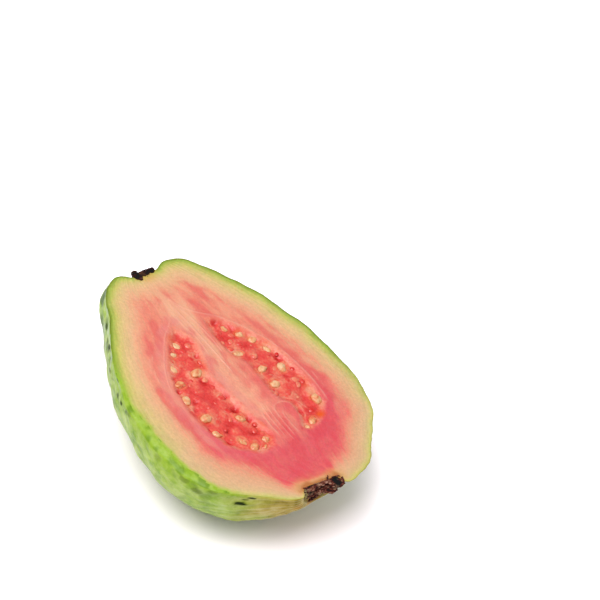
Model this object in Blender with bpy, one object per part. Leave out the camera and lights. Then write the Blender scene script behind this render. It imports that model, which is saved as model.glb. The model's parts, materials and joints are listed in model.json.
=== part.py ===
"""Half of a pink guava, cut lengthwise through stem scar and calyx, lying on its skin.

Three pieces, in metres, +Z up:
  guava_half   skin, flesh, seed pulp and seeds, which grew as one body
  dry_calyx    the dried crown of sepals at the blossom end, cut through with the fruit
  stem_scar    the corky scab where the stalk came off

The fruit is worked out lying flat, in millimetres: x runs along its core from stem to calyx, y across
the cut face, and z is the cut face's normal. settle() then leans it the way it comes to rest on a
small flattened spot of its skin, with the floor at z = 0 and the origin below the middle of its box.
"""

import math

import bmesh
import bpy
from mathutils import Matrix, Vector, noise

MM = 0.001

# The whole fruit, and how deep this half is: the knife passed a little beside the core.
LENGTH = 90.0
HALF_WIDTH = 37.2
DEPTH_SHARE = 0.80

# Half of the cut outline, from the stem pit over the shoulder and the belly to the calyx cup:
# shares of half the length along the core, and of HALF_WIDTH away from it.
OUTLINE = (
    (-0.960, 0.000),
    (-0.960, 0.075),
    (-0.965, 0.128),
    (-0.986, 0.165),
    (-1.003, 0.215),
    (-1.003, 0.280),
    (-0.970, 0.380),
    (-0.885, 0.480),
    (-0.720, 0.612),
    (-0.420, 0.822),
    (-0.100, 0.950),
    (0.180, 1.000),
    (0.400, 0.975),
    (0.590, 0.888),
    (0.745, 0.745),
    (0.865, 0.562),
    (0.938, 0.405),
    (0.972, 0.295),
    (0.979, 0.240),
    (0.966, 0.205),
    (0.934, 0.186),
    (0.909, 0.150),
    (0.905, 0.080),
    (0.905, 0.000),
)
# Stem and calyx sit a little off the middle of the cut face, from this share of the way out.
STEM_SHIFT, CALYX_SHIFT = -1.0, 3.0
SHIFT_FROM, SHIFT_TO = 0.70, 0.90

# Relief of the skin: broad lumps, smaller bumps, and soft ribs that run down from the stem and
# fade out along the way. The ends' pits stay smooth.
LUMP_HEIGHT, LUMP_SIZE = 0.75, 15.0
BUMP_HEIGHT, BUMP_SIZE = 0.48, 6.5
BUMP_START = Vector((7.0, 3.0, 1.0))
RIB_COUNT, RIB_HEIGHT, RIB_TURN = 7, 0.55, 0.6
RIBS_FULL, RIBS_GONE = -0.95, 0.1
PIT_EDGE = (0.24, 0.42)

# The calyx end falls back on its far underside: how far, over which turns (0 is the far edge of the
# cut), from which share of the way to the calyx, and how far from the core it starts.
FALL_BACK = 4.0
FALL_TURNS = (0.0, 0.25, 1.4, 2.5)
FALL_ALONG = (0.60, 0.95)
FALL_AWAY = (0.15, 0.30)

# The two seed chambers, either side of the pale placenta, as outlines on the cut face.
NEAR_CHAMBER = (
    (-23.5, -5.0), (-18.0, -10.6), (-10.5, -15.5), (-3.0, -18.6), (5.0, -19.2), (14.5, -17.6),
    (21.5, -14.0), (25.2, -7.0), (24.6, -1.6), (20.8, 0.2), (14.0, -1.4), (7.0, -2.6), (1.0, -4.0),
    (-5.0, -5.0), (-11.0, -2.8), (-17.0, -1.2),
)
FAR_CHAMBER = (
    (-23.2, 5.6), (-20.0, 11.4), (-13.5, 16.3), (-8.0, 19.6), (-0.5, 21.9), (8.0, 23.0),
    (16.5, 22.8), (21.5, 17.8), (23.6, 12.6), (22.4, 9.8), (17.5, 12.0), (13.0, 12.2),
    (10.6, 10.4), (8.0, 9.2), (-3.8, 9.0), (-6.5, 7.0), (-10.0, 5.4), (-17.0, 5.0),
)
CHAMBER_EDGE = (-0.6, 1.9)
FACE_MIDDLE = (0.5, 1.5)
PULP_SUNK, PULP_LUMP, PULP_LUMP_SIZE = 0.85, 0.45, 4.5

# Seeds: length, width and thickness, and how far their middles stand above the pulp.
SEED_SIZE = (3.6, 2.7, 2.3)
SEED_RISE = 0.2
# Each seed's place on the cut face, the turn of its long axis in degrees, and its size as a share:
# along the near chamber's outer wall and its inner side, then the same for the far chamber.
SEEDS = (
    (-17.7, -7.7, 20, 0.85), (-15.1, -10.7, 60, 0.80), (-10.5, -13.9, 10, 0.95),
    (-5.0, -15.3, 80, 1.10), (0.6, -17.0, -20, 1.15), (8.5, -15.4, 85, 1.20),
    (14.3, -15.7, 60, 1.00), (19.4, -9.8, 10, 0.95), (22.4, -7.6, -75, 1.10),
    (-6.7, -8.1, 100, 1.20), (12.0, -5.4, 40, 1.00), (21.2, -2.7, 80, 0.85), (23.4, -4.6, -60, 0.75),
    (-17.8, 10.2, 30, 0.85), (-14.3, 13.3, 70, 0.80), (-11.2, 15.9, 80, 0.95),
    (-6.8, 18.1, 10, 0.85), (0.4, 18.3, -20, 1.10), (14.2, 21.1, -8, 1.25),
    (20.8, 15.1, -50, 1.05), (22.1, 12.2, -70, 0.75),
    (-8.2, 8.4, 80, 0.95), (-0.8, 11.9, 95, 1.00), (5.0, 12.6, 82, 1.05),
)

# The body's mesh.
STATIONS = 60
AROUND = 34
FACE_RINGS = (0.93, 0.84, 0.74, 0.67, 0.61, 0.57, 0.52, 0.46, 0.39, 0.32, 0.25, 0.18, 0.10)

# The dry calyx, as its half section: distance from its axis and height above its seat.
CALYX_SECTION = (
    (4.4, 0.0),
    (5.2, 0.6),
    (5.9, 1.3),
    (6.3, 2.0),
    (6.6, 2.7),
    (6.0, 3.1),
    (4.8, 2.5),
    (3.0, 1.7),
)
CALYX_MIDDLE_HEIGHT = 1.4
CALYX_SEPALS = 5
CALYX_DEPTH_SHARE = 0.5

# The stem scar, in the same terms: a thin scab with a raised, broken rim.
SCAR_SECTION = (
    (3.0, 0.0),
    (3.6, 0.4),
    (3.8, 1.0),
    (3.5, 1.6),
    (2.3, 1.4),
)
SCAR_MIDDLE_HEIGHT = 0.8
SCAR_LUMPS = 4

# Both dried pieces: how ragged their edges are outwards and upwards, and the gap to the fruit.
RAGGED_OUT, RAGGED_UP, RAGGED_GRAIN = 0.06, 0.22, 1.6
RAGGED_TURN = 0.9
TOUCH_GAP = 0.3
CROWN_STEPS = 26

# How it rests: the calyx end is lower, and the near side of the cut face is higher.
PITCH_DEG = 4.2
LEAN_DEG = -5.7
FLAT_SPOT_DEPTH = 1.8
SHARP_DEG = 40.0


def clear_scene():
    """Removes every object of the startup scene."""
    for old in list(bpy.data.objects):
        bpy.data.objects.remove(old)


def smoothstep(low, high, value):
    """0 below low, 1 above high, and a soft ramp between them."""
    share = min(1.0, max(0.0, (value - low) / (high - low)))
    return share * share * (3.0 - 2.0 * share)


def catmull_rom(points, spans, t):
    """The point at t on a smooth curve through points, whose knots are spans."""
    last = len(points) - 1
    i = 0
    while i < last - 1 and t > spans[i + 1]:
        i += 1
    before, here = points[max(i - 1, 0)], points[i]
    there, after = points[i + 1], points[min(i + 2, last)]
    width = spans[i + 1] - spans[i]
    u = (t - spans[i]) / width

    def slope(a, b, ka, kb):
        return (b - a) * (width / max(kb - ka, 1e-9))

    first = slope(before, there, spans[max(i - 1, 0)], spans[i + 1])
    second = slope(here, after, spans[i], spans[min(i + 2, last)])
    return (
        here * (2 * u**3 - 3 * u**2 + 1)
        + first * (u**3 - 2 * u**2 + u)
        + there * (3 * u**2 - 2 * u**3)
        + second * (u**3 - u**2)
    )


def meridian(stations):
    """Points (along, away from the core) and outward normals of half the outline, in mm."""
    points = [Vector((x * LENGTH / 2, r * HALF_WIDTH)) for x, r in OUTLINE]
    spans = [0.0]
    for a, b in zip(points, points[1:]):
        spans.append(spans[-1] + math.sqrt((b - a).length))
    step = spans[-1] / stations
    curve = [catmull_rom(points, spans, k * step) for k in range(stations + 1)]
    curve[0].y = curve[-1].y = 0.0
    normals = []
    for k in range(stations + 1):
        ahead = curve[min(k + 1, stations)] - curve[max(k - 1, 0)]
        normals.append(Vector((-ahead.y, ahead.x)).normalized())
    return curve, normals


def core_shift(x):
    """How far the core lies off the middle of the cut face: it bends a little at both ends."""
    share = smoothstep(SHIFT_FROM, SHIFT_TO, abs(x) / (LENGTH / 2))
    return share * (CALYX_SHIFT if x > 0 else STEM_SHIFT)


def relief(point, turn, along):
    """Height of the skin's lumps, bumps and ribs at a point; the two pits stay smooth."""
    lumps = LUMP_HEIGHT * noise.noise(point / LUMP_SIZE)
    bumps = BUMP_HEIGHT * noise.noise(point / BUMP_SIZE + BUMP_START)
    fading = 1.0 - smoothstep(RIBS_FULL, RIBS_GONE, along)
    ribs = RIB_HEIGHT * math.cos(RIB_COUNT * turn + RIB_TURN) * fading
    clear_of_pits = smoothstep(*PIT_EDGE, math.hypot(point.y, point.z) / HALF_WIDTH)
    return (lumps + bumps + ribs) * clear_of_pits


def fall_back(base, turn):
    """How far the skin lies further in along the core, on the far underside of the calyx end."""
    around = smoothstep(*FALL_TURNS[:2], turn) * (1.0 - smoothstep(*FALL_TURNS[2:], turn))
    along = smoothstep(*FALL_ALONG, base.x / (LENGTH / 2))
    return FALL_BACK * around * along * smoothstep(*FALL_AWAY, base.y / HALF_WIDTH)


def skin_point(base, normal, turn):
    """A point of the skin: turn is 0 and pi at the cut face and pi / 2 at the middle of the back."""
    flat = Vector((base.x, base.y * math.cos(turn), -base.y * DEPTH_SHARE * math.sin(turn)))
    height = relief(flat, turn, base.x / (LENGTH / 2))
    x = base.x + normal.x * height - fall_back(base, turn)
    away = base.y + normal.y * height
    return Vector((
        x,
        core_shift(base.x) + away * math.cos(turn),
        -away * DEPTH_SHARE * math.sin(turn),
    ))


def depth_inside(outline, x, y):
    """How deep (x, y) lies inside a closed outline; negative outside it."""
    nearest = math.inf
    inside = False
    for (ax, ay), (bx, by) in zip(outline, outline[1:] + outline[:1]):
        run, climb = bx - ax, by - ay
        share = ((x - ax) * run + (y - ay) * climb) / (run * run + climb * climb)
        share = min(1.0, max(0.0, share))
        nearest = min(nearest, math.hypot(ax + share * run - x, ay + share * climb - y))
        if (ay > y) != (by > y) and x < ax + run * (y - ay) / climb:
            inside = not inside
    return nearest if inside else -nearest


def chamber_share(x, y):
    """1 inside a seed chamber, 0 in the flesh and the placenta, with soft edges."""
    deepest = max(depth_inside(outline, x, y) for outline in (NEAR_CHAMBER, FAR_CHAMBER))
    return smoothstep(*CHAMBER_EDGE, deepest)


def cut_height(x, y):
    """Height of the cut face: flat, with the soft pulp of the chambers sunk below it."""
    share = chamber_share(x, y)
    lumps = PULP_LUMP * noise.noise(Vector((x, y, 4.0)) / PULP_LUMP_SIZE)
    return share * (lumps - PULP_SUNK)


def material(name, colour, roughness):
    """A Principled material of one colour."""
    made = bpy.data.materials.new(name)
    made.use_nodes = True
    surface = made.node_tree.nodes["Principled BSDF"]
    surface.inputs["Base Color"].default_value = (*colour, 1.0)
    surface.inputs["Roughness"].default_value = roughness
    surface.inputs["Metallic"].default_value = 0.0
    made.diffuse_color = (*colour, 1.0)
    return made


def object_from(name, build, *materials):
    """A scene object whose mesh is that bmesh, with its faces pointing out."""
    bmesh.ops.recalc_face_normals(build, faces=build.faces)
    mesh = bpy.data.meshes.new(name)
    build.to_mesh(mesh)
    build.free()
    made = bpy.data.objects.new(name, mesh)
    for one in materials:
        mesh.materials.append(one)
    bpy.context.scene.collection.objects.link(made)
    return made


def skin_surface(build):
    """Adds the skin, from pole to pole and from rim to rim. Returns the rim's corners in order."""
    curve, normals = meridian(STATIONS)
    stem_pole = build.verts.new(skin_point(curve[0], normals[0], 0.0))
    calyx_pole = build.verts.new(skin_point(curve[-1], normals[-1], 0.0))
    turns = [math.pi * j / AROUND for j in range(AROUND + 1)]
    rows = []
    for base, normal in zip(curve[1:-1], normals[1:-1]):
        row = [build.verts.new(skin_point(base, normal, turn)) for turn in turns]
        row[0].co.z = row[-1].co.z = 0.0
        rows.append(row)
    for first, second in zip(rows, rows[1:]):
        for j in range(AROUND):
            build.faces.new((first[j], first[j + 1], second[j + 1], second[j]))
    for j in range(AROUND):
        build.faces.new((stem_pole, rows[0][j + 1], rows[0][j]))
        build.faces.new((calyx_pole, rows[-1][j], rows[-1][j + 1]))
    near_side = [row[-1] for row in reversed(rows)]
    return [stem_pole, *(row[0] for row in rows), calyx_pole, *near_side]


def cut_surface(build, rim):
    """Closes the rim with the cut face, in rings that shrink towards its middle. It takes material 1."""
    middle = Vector((*FACE_MIDDLE, 0.0))
    outer = rim
    for share in FACE_RINGS:
        inner = []
        for corner in rim:
            place = middle.lerp(Vector((corner.co.x, corner.co.y, 0.0)), share)
            place.z = cut_height(place.x, place.y)
            inner.append(build.verts.new(place))
        for j in range(len(rim)):
            k = (j + 1) % len(rim)
            build.faces.new((outer[j], outer[k], inner[k], inner[j])).material_index = 1
        outer = inner
    middle.z = cut_height(middle.x, middle.y)
    centre = build.verts.new(middle)
    for j in range(len(rim)):
        build.faces.new((outer[j], outer[(j + 1) % len(rim)], centre)).material_index = 1


def seed_bodies(seed_material):
    """Each seed as its own closed object, in a collection for the union."""
    gathered = bpy.data.collections.new("seeds")
    bpy.context.scene.collection.children.link(gathered)
    for number, (x, y, turn_deg, size) in enumerate(SEEDS):
        build = bmesh.new()
        bmesh.ops.create_icosphere(build, subdivisions=2, radius=0.5)
        build.transform(Matrix.Diagonal((*SEED_SIZE, 1.0)) * size)
        build.transform(Matrix.Rotation(math.radians(turn_deg), 4, "Z"))
        build.transform(Matrix.Translation((x, y, cut_height(x, y) + SEED_RISE)))
        seed = object_from(f"seed_{number}", build, seed_material)
        bpy.context.scene.collection.objects.unlink(seed)
        gathered.objects.link(seed)
    return gathered


def join_seeds(body, gathered):
    """Unites the body with every seed in the collection, then removes the seeds."""
    union = body.modifiers.new("grown_together", "BOOLEAN")
    union.operation = "UNION"
    union.operand_type = "COLLECTION"
    union.collection = gathered
    union.solver = "EXACT"
    union.material_mode = "TRANSFER"
    bpy.context.view_layer.update()
    graph = bpy.context.evaluated_depsgraph_get()
    joined = bpy.data.meshes.new_from_object(body.evaluated_get(graph))
    body.modifiers.clear()
    body.data = joined
    for seed in list(gathered.objects):
        bpy.data.objects.remove(seed)
    bpy.data.collections.remove(gathered)


def cut_flat_spot(body):
    """Slices the lowest skin off at z = 0 and closes the slice with one flat face."""
    build = bmesh.new()
    build.from_mesh(body.data)
    everything = [*build.verts, *build.edges, *build.faces]
    bmesh.ops.bisect_plane(
        build, geom=everything, dist=1e-7, plane_co=(0, 0, 0), plane_no=(0, 0, 1), clear_inner=True
    )
    rim = [edge for edge in build.edges if edge.is_boundary]
    for vert in {vert for edge in rim for vert in edge.verts}:
        vert.co.z = 0.0
    bmesh.ops.contextual_create(build, geom=rim)
    build.to_mesh(body.data)
    build.free()


def ragged_row(section, lobes, turn, seat):
    """Corners of one half section of a crown, whose outer edge is lobed and broken."""
    lip = section[-2][1]
    row = []
    for away, height in section:
        spot = Vector((away * math.cos(turn), away * math.sin(turn), height + seat.x))
        ragged = math.cos(lobes * turn + RAGGED_TURN) + noise.noise(spot / RAGGED_GRAIN)
        edge = smoothstep(0.0, lip, height)
        reach = away * (1.0 + edge * RAGGED_OUT * ragged)
        lift = height * (1.0 + edge * RAGGED_UP * ragged)
        row.append(Vector((lift, reach * math.cos(turn), -reach * math.sin(turn))))
    return row


def crown(name, section, middle_height, lobes, depth_share, seat, outward, one_material):
    """Half of a dried crown: a turned section with lobed edges, closed by the plane of the cut.

    depth_share is its depth against its width, seat is the point of the fruit's end that it sits
    on, and outward is +1 or -1 along x.
    """
    build = bmesh.new()
    bottom = build.verts.new((0.0, 0.0, 0.0))
    top = build.verts.new((middle_height, 0.0, 0.0))
    rows = []
    for k in range(CROWN_STEPS + 1):
        corners = ragged_row(section, lobes, math.pi * k / CROWN_STEPS, seat)
        rows.append([build.verts.new(corner) for corner in corners])
    for vert in (*rows[0], *rows[-1]):
        vert.co.z = 0.0
    for first, second in zip(rows, rows[1:]):
        for i in range(len(section) - 1):
            build.faces.new((first[i], first[i + 1], second[i + 1], second[i]))
        build.faces.new((bottom, first[0], second[0]))
        build.faces.new((top, second[-1], first[-1]))
    build.faces.new((bottom, *rows[0], top, *reversed(rows[-1])))
    build.transform(Matrix.Translation(seat) @ Matrix.Diagonal((outward, 1.0, depth_share, 1.0)))
    return object_from(name, build, one_material)


def settle(pieces):
    """Leans the pieces the way the fruit rests, over the origin, its flat spot at z = 0."""
    pitch = Matrix.Rotation(math.radians(PITCH_DEG), 4, "Y")
    lean = Matrix.Rotation(math.radians(LEAN_DEG), 4, "X")
    for piece in pieces:
        piece.data.transform(pitch @ lean)
    corners = [vert.co for piece in pieces for vert in piece.data.vertices]
    middle_x = (min(c.x for c in corners) + max(c.x for c in corners)) / 2
    middle_y = (min(c.y for c in corners) + max(c.y for c in corners)) / 2
    floor = min(c.z for c in corners) + FLAT_SPOT_DEPTH
    for piece in pieces:
        piece.data.transform(Matrix.Translation((-middle_x, -middle_y, -floor)))


def main():
    """Builds the half guava, at rest."""
    clear_scene()
    skin = material("guava_skin", (0.30, 0.47, 0.09), 0.38)
    flesh = material("guava_flesh", (0.83, 0.25, 0.20), 0.32)
    seed_coat = material("guava_seed", (0.86, 0.60, 0.34), 0.30)
    dried = material("dried_calyx", (0.075, 0.035, 0.020), 0.85)
    cork = material("stem_cork", (0.050, 0.022, 0.016), 0.90)

    build = bmesh.new()
    cut_surface(build, skin_surface(build))
    body = object_from("guava_half", build, skin, flesh, seed_coat)
    join_seeds(body, seed_bodies(seed_coat))

    calyx_seat = Vector((OUTLINE[-1][0] * LENGTH / 2 + TOUCH_GAP, CALYX_SHIFT, 0.0))
    calyx = crown(
        "dry_calyx", CALYX_SECTION, CALYX_MIDDLE_HEIGHT, CALYX_SEPALS, CALYX_DEPTH_SHARE,
        calyx_seat, 1.0, dried,
    )
    scar_seat = Vector((OUTLINE[0][0] * LENGTH / 2 - TOUCH_GAP, STEM_SHIFT, 0.0))
    scar = crown(
        "stem_scar", SCAR_SECTION, SCAR_MIDDLE_HEIGHT, SCAR_LUMPS, DEPTH_SHARE,
        scar_seat, -1.0, cork,
    )

    settle((body, calyx, scar))
    cut_flat_spot(body)
    for piece in (body, calyx, scar):
        piece.data.transform(Matrix.Scale(MM, 4))
        piece.data.shade_smooth()
        piece.data.set_sharp_from_angle(angle=math.radians(SHARP_DEG))


main()
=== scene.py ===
"""Dresses a half guava: bumpy waxy rind, moist pink flesh, seed pulp and seeds, dry calyx, stem scar.

The fruit is worked out lying flat, in millimetres: x along its core from stem to calyx, y across the
cut face and z up from it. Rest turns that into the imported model's own directions, in metres.
"""

import json
import logging
import math
import random
from dataclasses import dataclass
from enum import Enum
from typing import Sequence

import bmesh
import bpy
import numpy as np
from mathutils import Matrix, Vector, noise

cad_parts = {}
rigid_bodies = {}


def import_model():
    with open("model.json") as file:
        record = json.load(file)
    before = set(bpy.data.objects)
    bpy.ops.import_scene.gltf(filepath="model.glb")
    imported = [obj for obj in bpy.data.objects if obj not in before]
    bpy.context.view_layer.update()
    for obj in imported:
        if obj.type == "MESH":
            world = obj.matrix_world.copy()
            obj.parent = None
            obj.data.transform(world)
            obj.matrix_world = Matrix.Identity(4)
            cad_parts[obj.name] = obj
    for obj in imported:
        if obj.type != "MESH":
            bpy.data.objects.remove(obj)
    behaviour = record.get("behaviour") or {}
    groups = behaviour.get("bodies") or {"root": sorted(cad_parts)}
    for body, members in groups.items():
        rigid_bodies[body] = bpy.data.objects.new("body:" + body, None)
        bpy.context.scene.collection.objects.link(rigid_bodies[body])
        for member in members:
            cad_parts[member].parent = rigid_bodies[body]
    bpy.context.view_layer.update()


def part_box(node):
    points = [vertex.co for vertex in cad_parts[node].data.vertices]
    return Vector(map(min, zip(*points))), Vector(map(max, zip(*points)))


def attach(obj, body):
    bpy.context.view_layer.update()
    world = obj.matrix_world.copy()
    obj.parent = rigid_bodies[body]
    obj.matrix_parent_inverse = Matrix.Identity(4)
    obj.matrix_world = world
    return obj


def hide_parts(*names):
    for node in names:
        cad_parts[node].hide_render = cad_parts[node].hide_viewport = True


MM = 0.001
MIX_A, MIX_B = 6, 7  # the colour inputs of a mix node
GAIN, SHEEN = 1.79, 0.03  # what the studio's light does to a colour, and what gloss adds to it
LOG = logging.getLogger("guava")

Points = np.ndarray  # one point a row
Row = np.ndarray  # one number a place
Outline = tuple[tuple[float, float], ...]
Socket = bpy.types.NodeSocket
Tree = bpy.types.NodeTree
Material = bpy.types.Material
Piece = bpy.types.Object


def linear(code: str) -> tuple[float, float, float, float]:
    """Turns an sRGB hex colour into the linear colour that a shader works with.

    Args:
        code: the colour as "#RRGGBB".

    Returns:
        Red, green, blue and an alpha of 1.
    """
    shares = [int(code[i:i + 2], 16) / 255 for i in (1, 3, 5)]
    channels = [c / 12.92 if c <= 0.04045 else ((c + 0.055) / 1.055) ** 2.4 for c in shares]
    return (*channels, 1.0)


def pigment(code: str) -> tuple[float, float, float, float]:
    """The surface colour that looks like an sRGB hex colour under the studio's light.

    Args:
        code: the colour as it should look, as "#RRGGBB".

    Returns:
        Its linear colour, less the sheen and the gain that the light puts on top.
    """
    return (*[max(channel - SHEEN, 0.004) / GAIN for channel in linear(code)[:3]], 1.0)


def ramp(low: float, high: float, value: Row) -> Row:
    """A soft ramp.

    Args:
        low: where it leaves 0.
        high: where it reaches 1.
        value: what is put on the ramp.

    Returns:
        0 below low, 1 above high, and a smooth climb between them.
    """
    share = np.clip((np.asarray(value, float) - low) / (high - low), 0.0, 1.0)
    return share * share * (3.0 - 2.0 * share)


def bell(value: Row, middle: float, width: float) -> Row:
    """1 where the value is at the middle, fading out over the width on both sides."""
    return np.exp(-(((value - middle) / width) ** 2))


def at_height(x: Row, y: Row, z: float) -> Points:
    """Points over the places (x, y), all at height z."""
    return np.stack([x, y, np.full_like(x, z)], axis=1)


def perlin(
    points: Points, size: float, start: Sequence[float] = (0.0, 0.0, 0.0), squeeze: float = 1.0
) -> Row:
    """Soft noise from -1 to 1 at each point.

    Args:
        points: places, one a row.
        size: the size of its lumps, in the points' own unit.
        start: moves the pattern, in lumps.
        squeeze: below 1, it draws the lumps out along x.

    Returns:
        One number a point.
    """
    places = points * np.array([squeeze, 1.0, 1.0]) / size + np.asarray(start)
    return np.array([noise.noise(Vector(place)) for place in places])


def cells(points: Points, size: float) -> tuple[Row, Row]:
    """Distances to the nearest and the second nearest of scattered cell middles.

    Args:
        points: places, one a row.
        size: the size of a cell, in the points' own unit.

    Returns:
        Both distances, in cells.
    """
    found = np.array([noise.voronoi(Vector(place))[0][:2] for place in points / size])
    return found[:, 0], found[:, 1]


def smooth_line(corners: Sequence[Sequence[float]], steps: int) -> Points:
    """A smooth curve through corners, with knots at the square root of their distances.

    Args:
        corners: the points that it passes.
        steps: how many equal steps of the knots it is divided in.

    Returns:
        steps + 1 points.
    """
    points = np.asarray(corners, float)
    gaps = np.sqrt(np.linalg.norm(np.diff(points, axis=0), axis=1))
    knots = np.concatenate([[0.0], np.cumsum(gaps)])
    order = np.arange(len(points))
    before, after = np.maximum(order - 1, 0), np.minimum(order + 1, len(points) - 1)
    slopes = (points[after] - points[before]) / (knots[after] - knots[before])[:, None]
    t = np.linspace(0.0, knots[-1], steps + 1)
    i = np.clip(np.searchsorted(knots, t, side="right") - 1, 0, len(points) - 2)
    width = (knots[i + 1] - knots[i])[:, None]
    u = (t[:, None] - knots[i][:, None]) / width
    return (
        points[i] * (2 * u**3 - 3 * u**2 + 1)
        + slopes[i] * width * (u**3 - 2 * u**2 + u)
        + points[i + 1] * (3 * u**2 - 2 * u**3)
        + slopes[i + 1] * width * (u**3 - u**2)
    )


def distance_to_line(x: Row, y: Row, line: Points) -> Row:
    """Distance from each (x, y) to a chain of straight runs.

    Args:
        x: places along the core.
        y: places across the cut face.
        line: the chain's corners, one a row.

    Returns:
        One distance a place.
    """
    nearest = np.full(x.shape, np.inf)
    for (ax, ay), (bx, by) in zip(line[:-1], line[1:]):
        run, climb = bx - ax, by - ay
        share = ((x - ax) * run + (y - ay) * climb) / (run * run + climb * climb)
        share = np.clip(share, 0.0, 1.0)
        nearest = np.minimum(nearest, np.hypot(ax + share * run - x, ay + share * climb - y))
    return nearest


def depth_inside(x: Row, y: Row, outline: Points) -> Row:
    """How deep each (x, y) lies inside a closed outline.

    Args:
        x: places along the core.
        y: places across the cut face.
        outline: its corners, one a row; the last joins the first.

    Returns:
        The distance to the outline, negative outside it.
    """
    closed = np.vstack([outline, outline[:1]])
    inside = np.zeros(x.shape, bool)
    for (ax, ay), (bx, by) in zip(closed[:-1], closed[1:]):
        if ay != by:
            inside ^= ((ay > y) != (by > y)) & (x < ax + (bx - ax) * (y - ay) / (by - ay))
    away = distance_to_line(x, y, closed)
    return np.where(inside, away, -away)


def add_node(
    tree: Tree,
    kind: str,
    settings: dict | None = None,
    links: dict | None = None,
    output: str | None = None,
) -> Socket | None:
    """Adds a node to a tree, or sets up one that the tree has.

    Args:
        tree: the shader or geometry tree.
        kind: the node's type name, or the name of the node that the tree has.
        settings: values for its properties, for its unlinked sockets by name or index, or under
            "stops" for a colour ramp's (place, colour) pairs.
        links: for each linked socket, by name or index, the socket that feeds it.
        output: the output that is wanted, or None for the first one in use.

    Returns:
        That output, or None for a node without one.
    """
    node = tree.nodes.get(kind) or tree.nodes.new(kind)
    for key, value in (settings or {}).items():
        if key == "stops":
            stops = node.color_ramp.elements
            while len(stops) < len(value):
                stops.new(1.0)
            for stop, (place, colour) in zip(stops, value):
                stop.position = place
                stop.color = pigment(colour)
        elif isinstance(key, str) and hasattr(node, key):
            setattr(node, key, value)
        else:
            node.inputs[key].default_value = value
    for key, source in (links or {}).items():
        tree.links.new(source, node.inputs[key])
    if output:
        return node.outputs[output]
    return next((socket for socket in node.outputs if socket.enabled), None)


def quads(rows: np.ndarray) -> list[list[int]]:
    """Faces between neighbouring rows of corners.

    Args:
        rows: the corners' numbers, as a grid.

    Returns:
        Four numbers a face.
    """
    around = (rows[:-1, :-1], rows[1:, :-1], rows[1:, 1:], rows[:-1, 1:])
    return np.stack(around, axis=-1).reshape(-1, 4).tolist()


def mesh_object(
    name: str,
    points: Points,
    faces: Sequence[Sequence[int]],
    materials: Sequence[Material],
    slots: Sequence[int] | None = None,
) -> Piece:
    """Makes a smooth-shaded object at the origin.

    Args:
        name: its name.
        points: its corners, in metres.
        faces: the corners of each face.
        materials: its materials.
        slots: each face's material, or None for the first.

    Returns:
        The object, in the scene.
    """
    mesh = bpy.data.meshes.new(name)
    mesh.from_pydata(points.tolist(), [], faces)
    for material in materials:
        mesh.materials.append(material)
    if slots is not None:
        mesh.polygons.foreach_set("material_index", list(slots))
    mesh.shade_smooth()
    mesh.validate()
    made = bpy.data.objects.new(name, mesh)
    bpy.context.scene.collection.objects.link(made)
    return made


def give_attribute(piece: Piece, name: str, values: np.ndarray) -> None:
    """Stores a number or a vector for every corner of a piece.

    Args:
        piece: the object.
        name: the attribute's name.
        values: one number or one row of three a corner.
    """
    kind, key = ("FLOAT", "value") if values.ndim == 1 else ("FLOAT_VECTOR", "vector")
    layer = piece.data.attributes.new(name, kind, "POINT")
    layer.data.foreach_set(key, np.asarray(values, np.float32).ravel())


def face_outward(piece: Piece) -> None:
    """Turns a closed piece's faces outward and splits its faces of more than four corners.

    Args:
        piece: the piece.
    """
    build = bmesh.new()
    build.from_mesh(piece.data)
    bmesh.ops.triangulate(build, faces=[face for face in build.faces if len(face.verts) > 4])
    bmesh.ops.recalc_face_normals(build, faces=build.faces)
    build.to_mesh(piece.data)
    build.free()


def bake_modifiers(piece: Piece) -> bpy.types.Mesh:
    """Makes what a piece's modifiers give its plain mesh, and removes them.

    Args:
        piece: the piece.

    Returns:
        Its new mesh.
    """
    bpy.context.view_layer.update()
    graph = bpy.context.evaluated_depsgraph_get()
    mesh = bpy.data.meshes.new_from_object(piece.evaluated_get(graph))
    piece.modifiers.clear()
    piece.data = mesh
    return mesh


class Slot(Enum):
    """The record's material slots."""

    SKIN = "guava_skin"
    FLESH = "guava_flesh_and_skin"
    SEED = "guava_seed"
    CALYX = "dried_calyx"
    CORK = "stem_cork"


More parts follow.
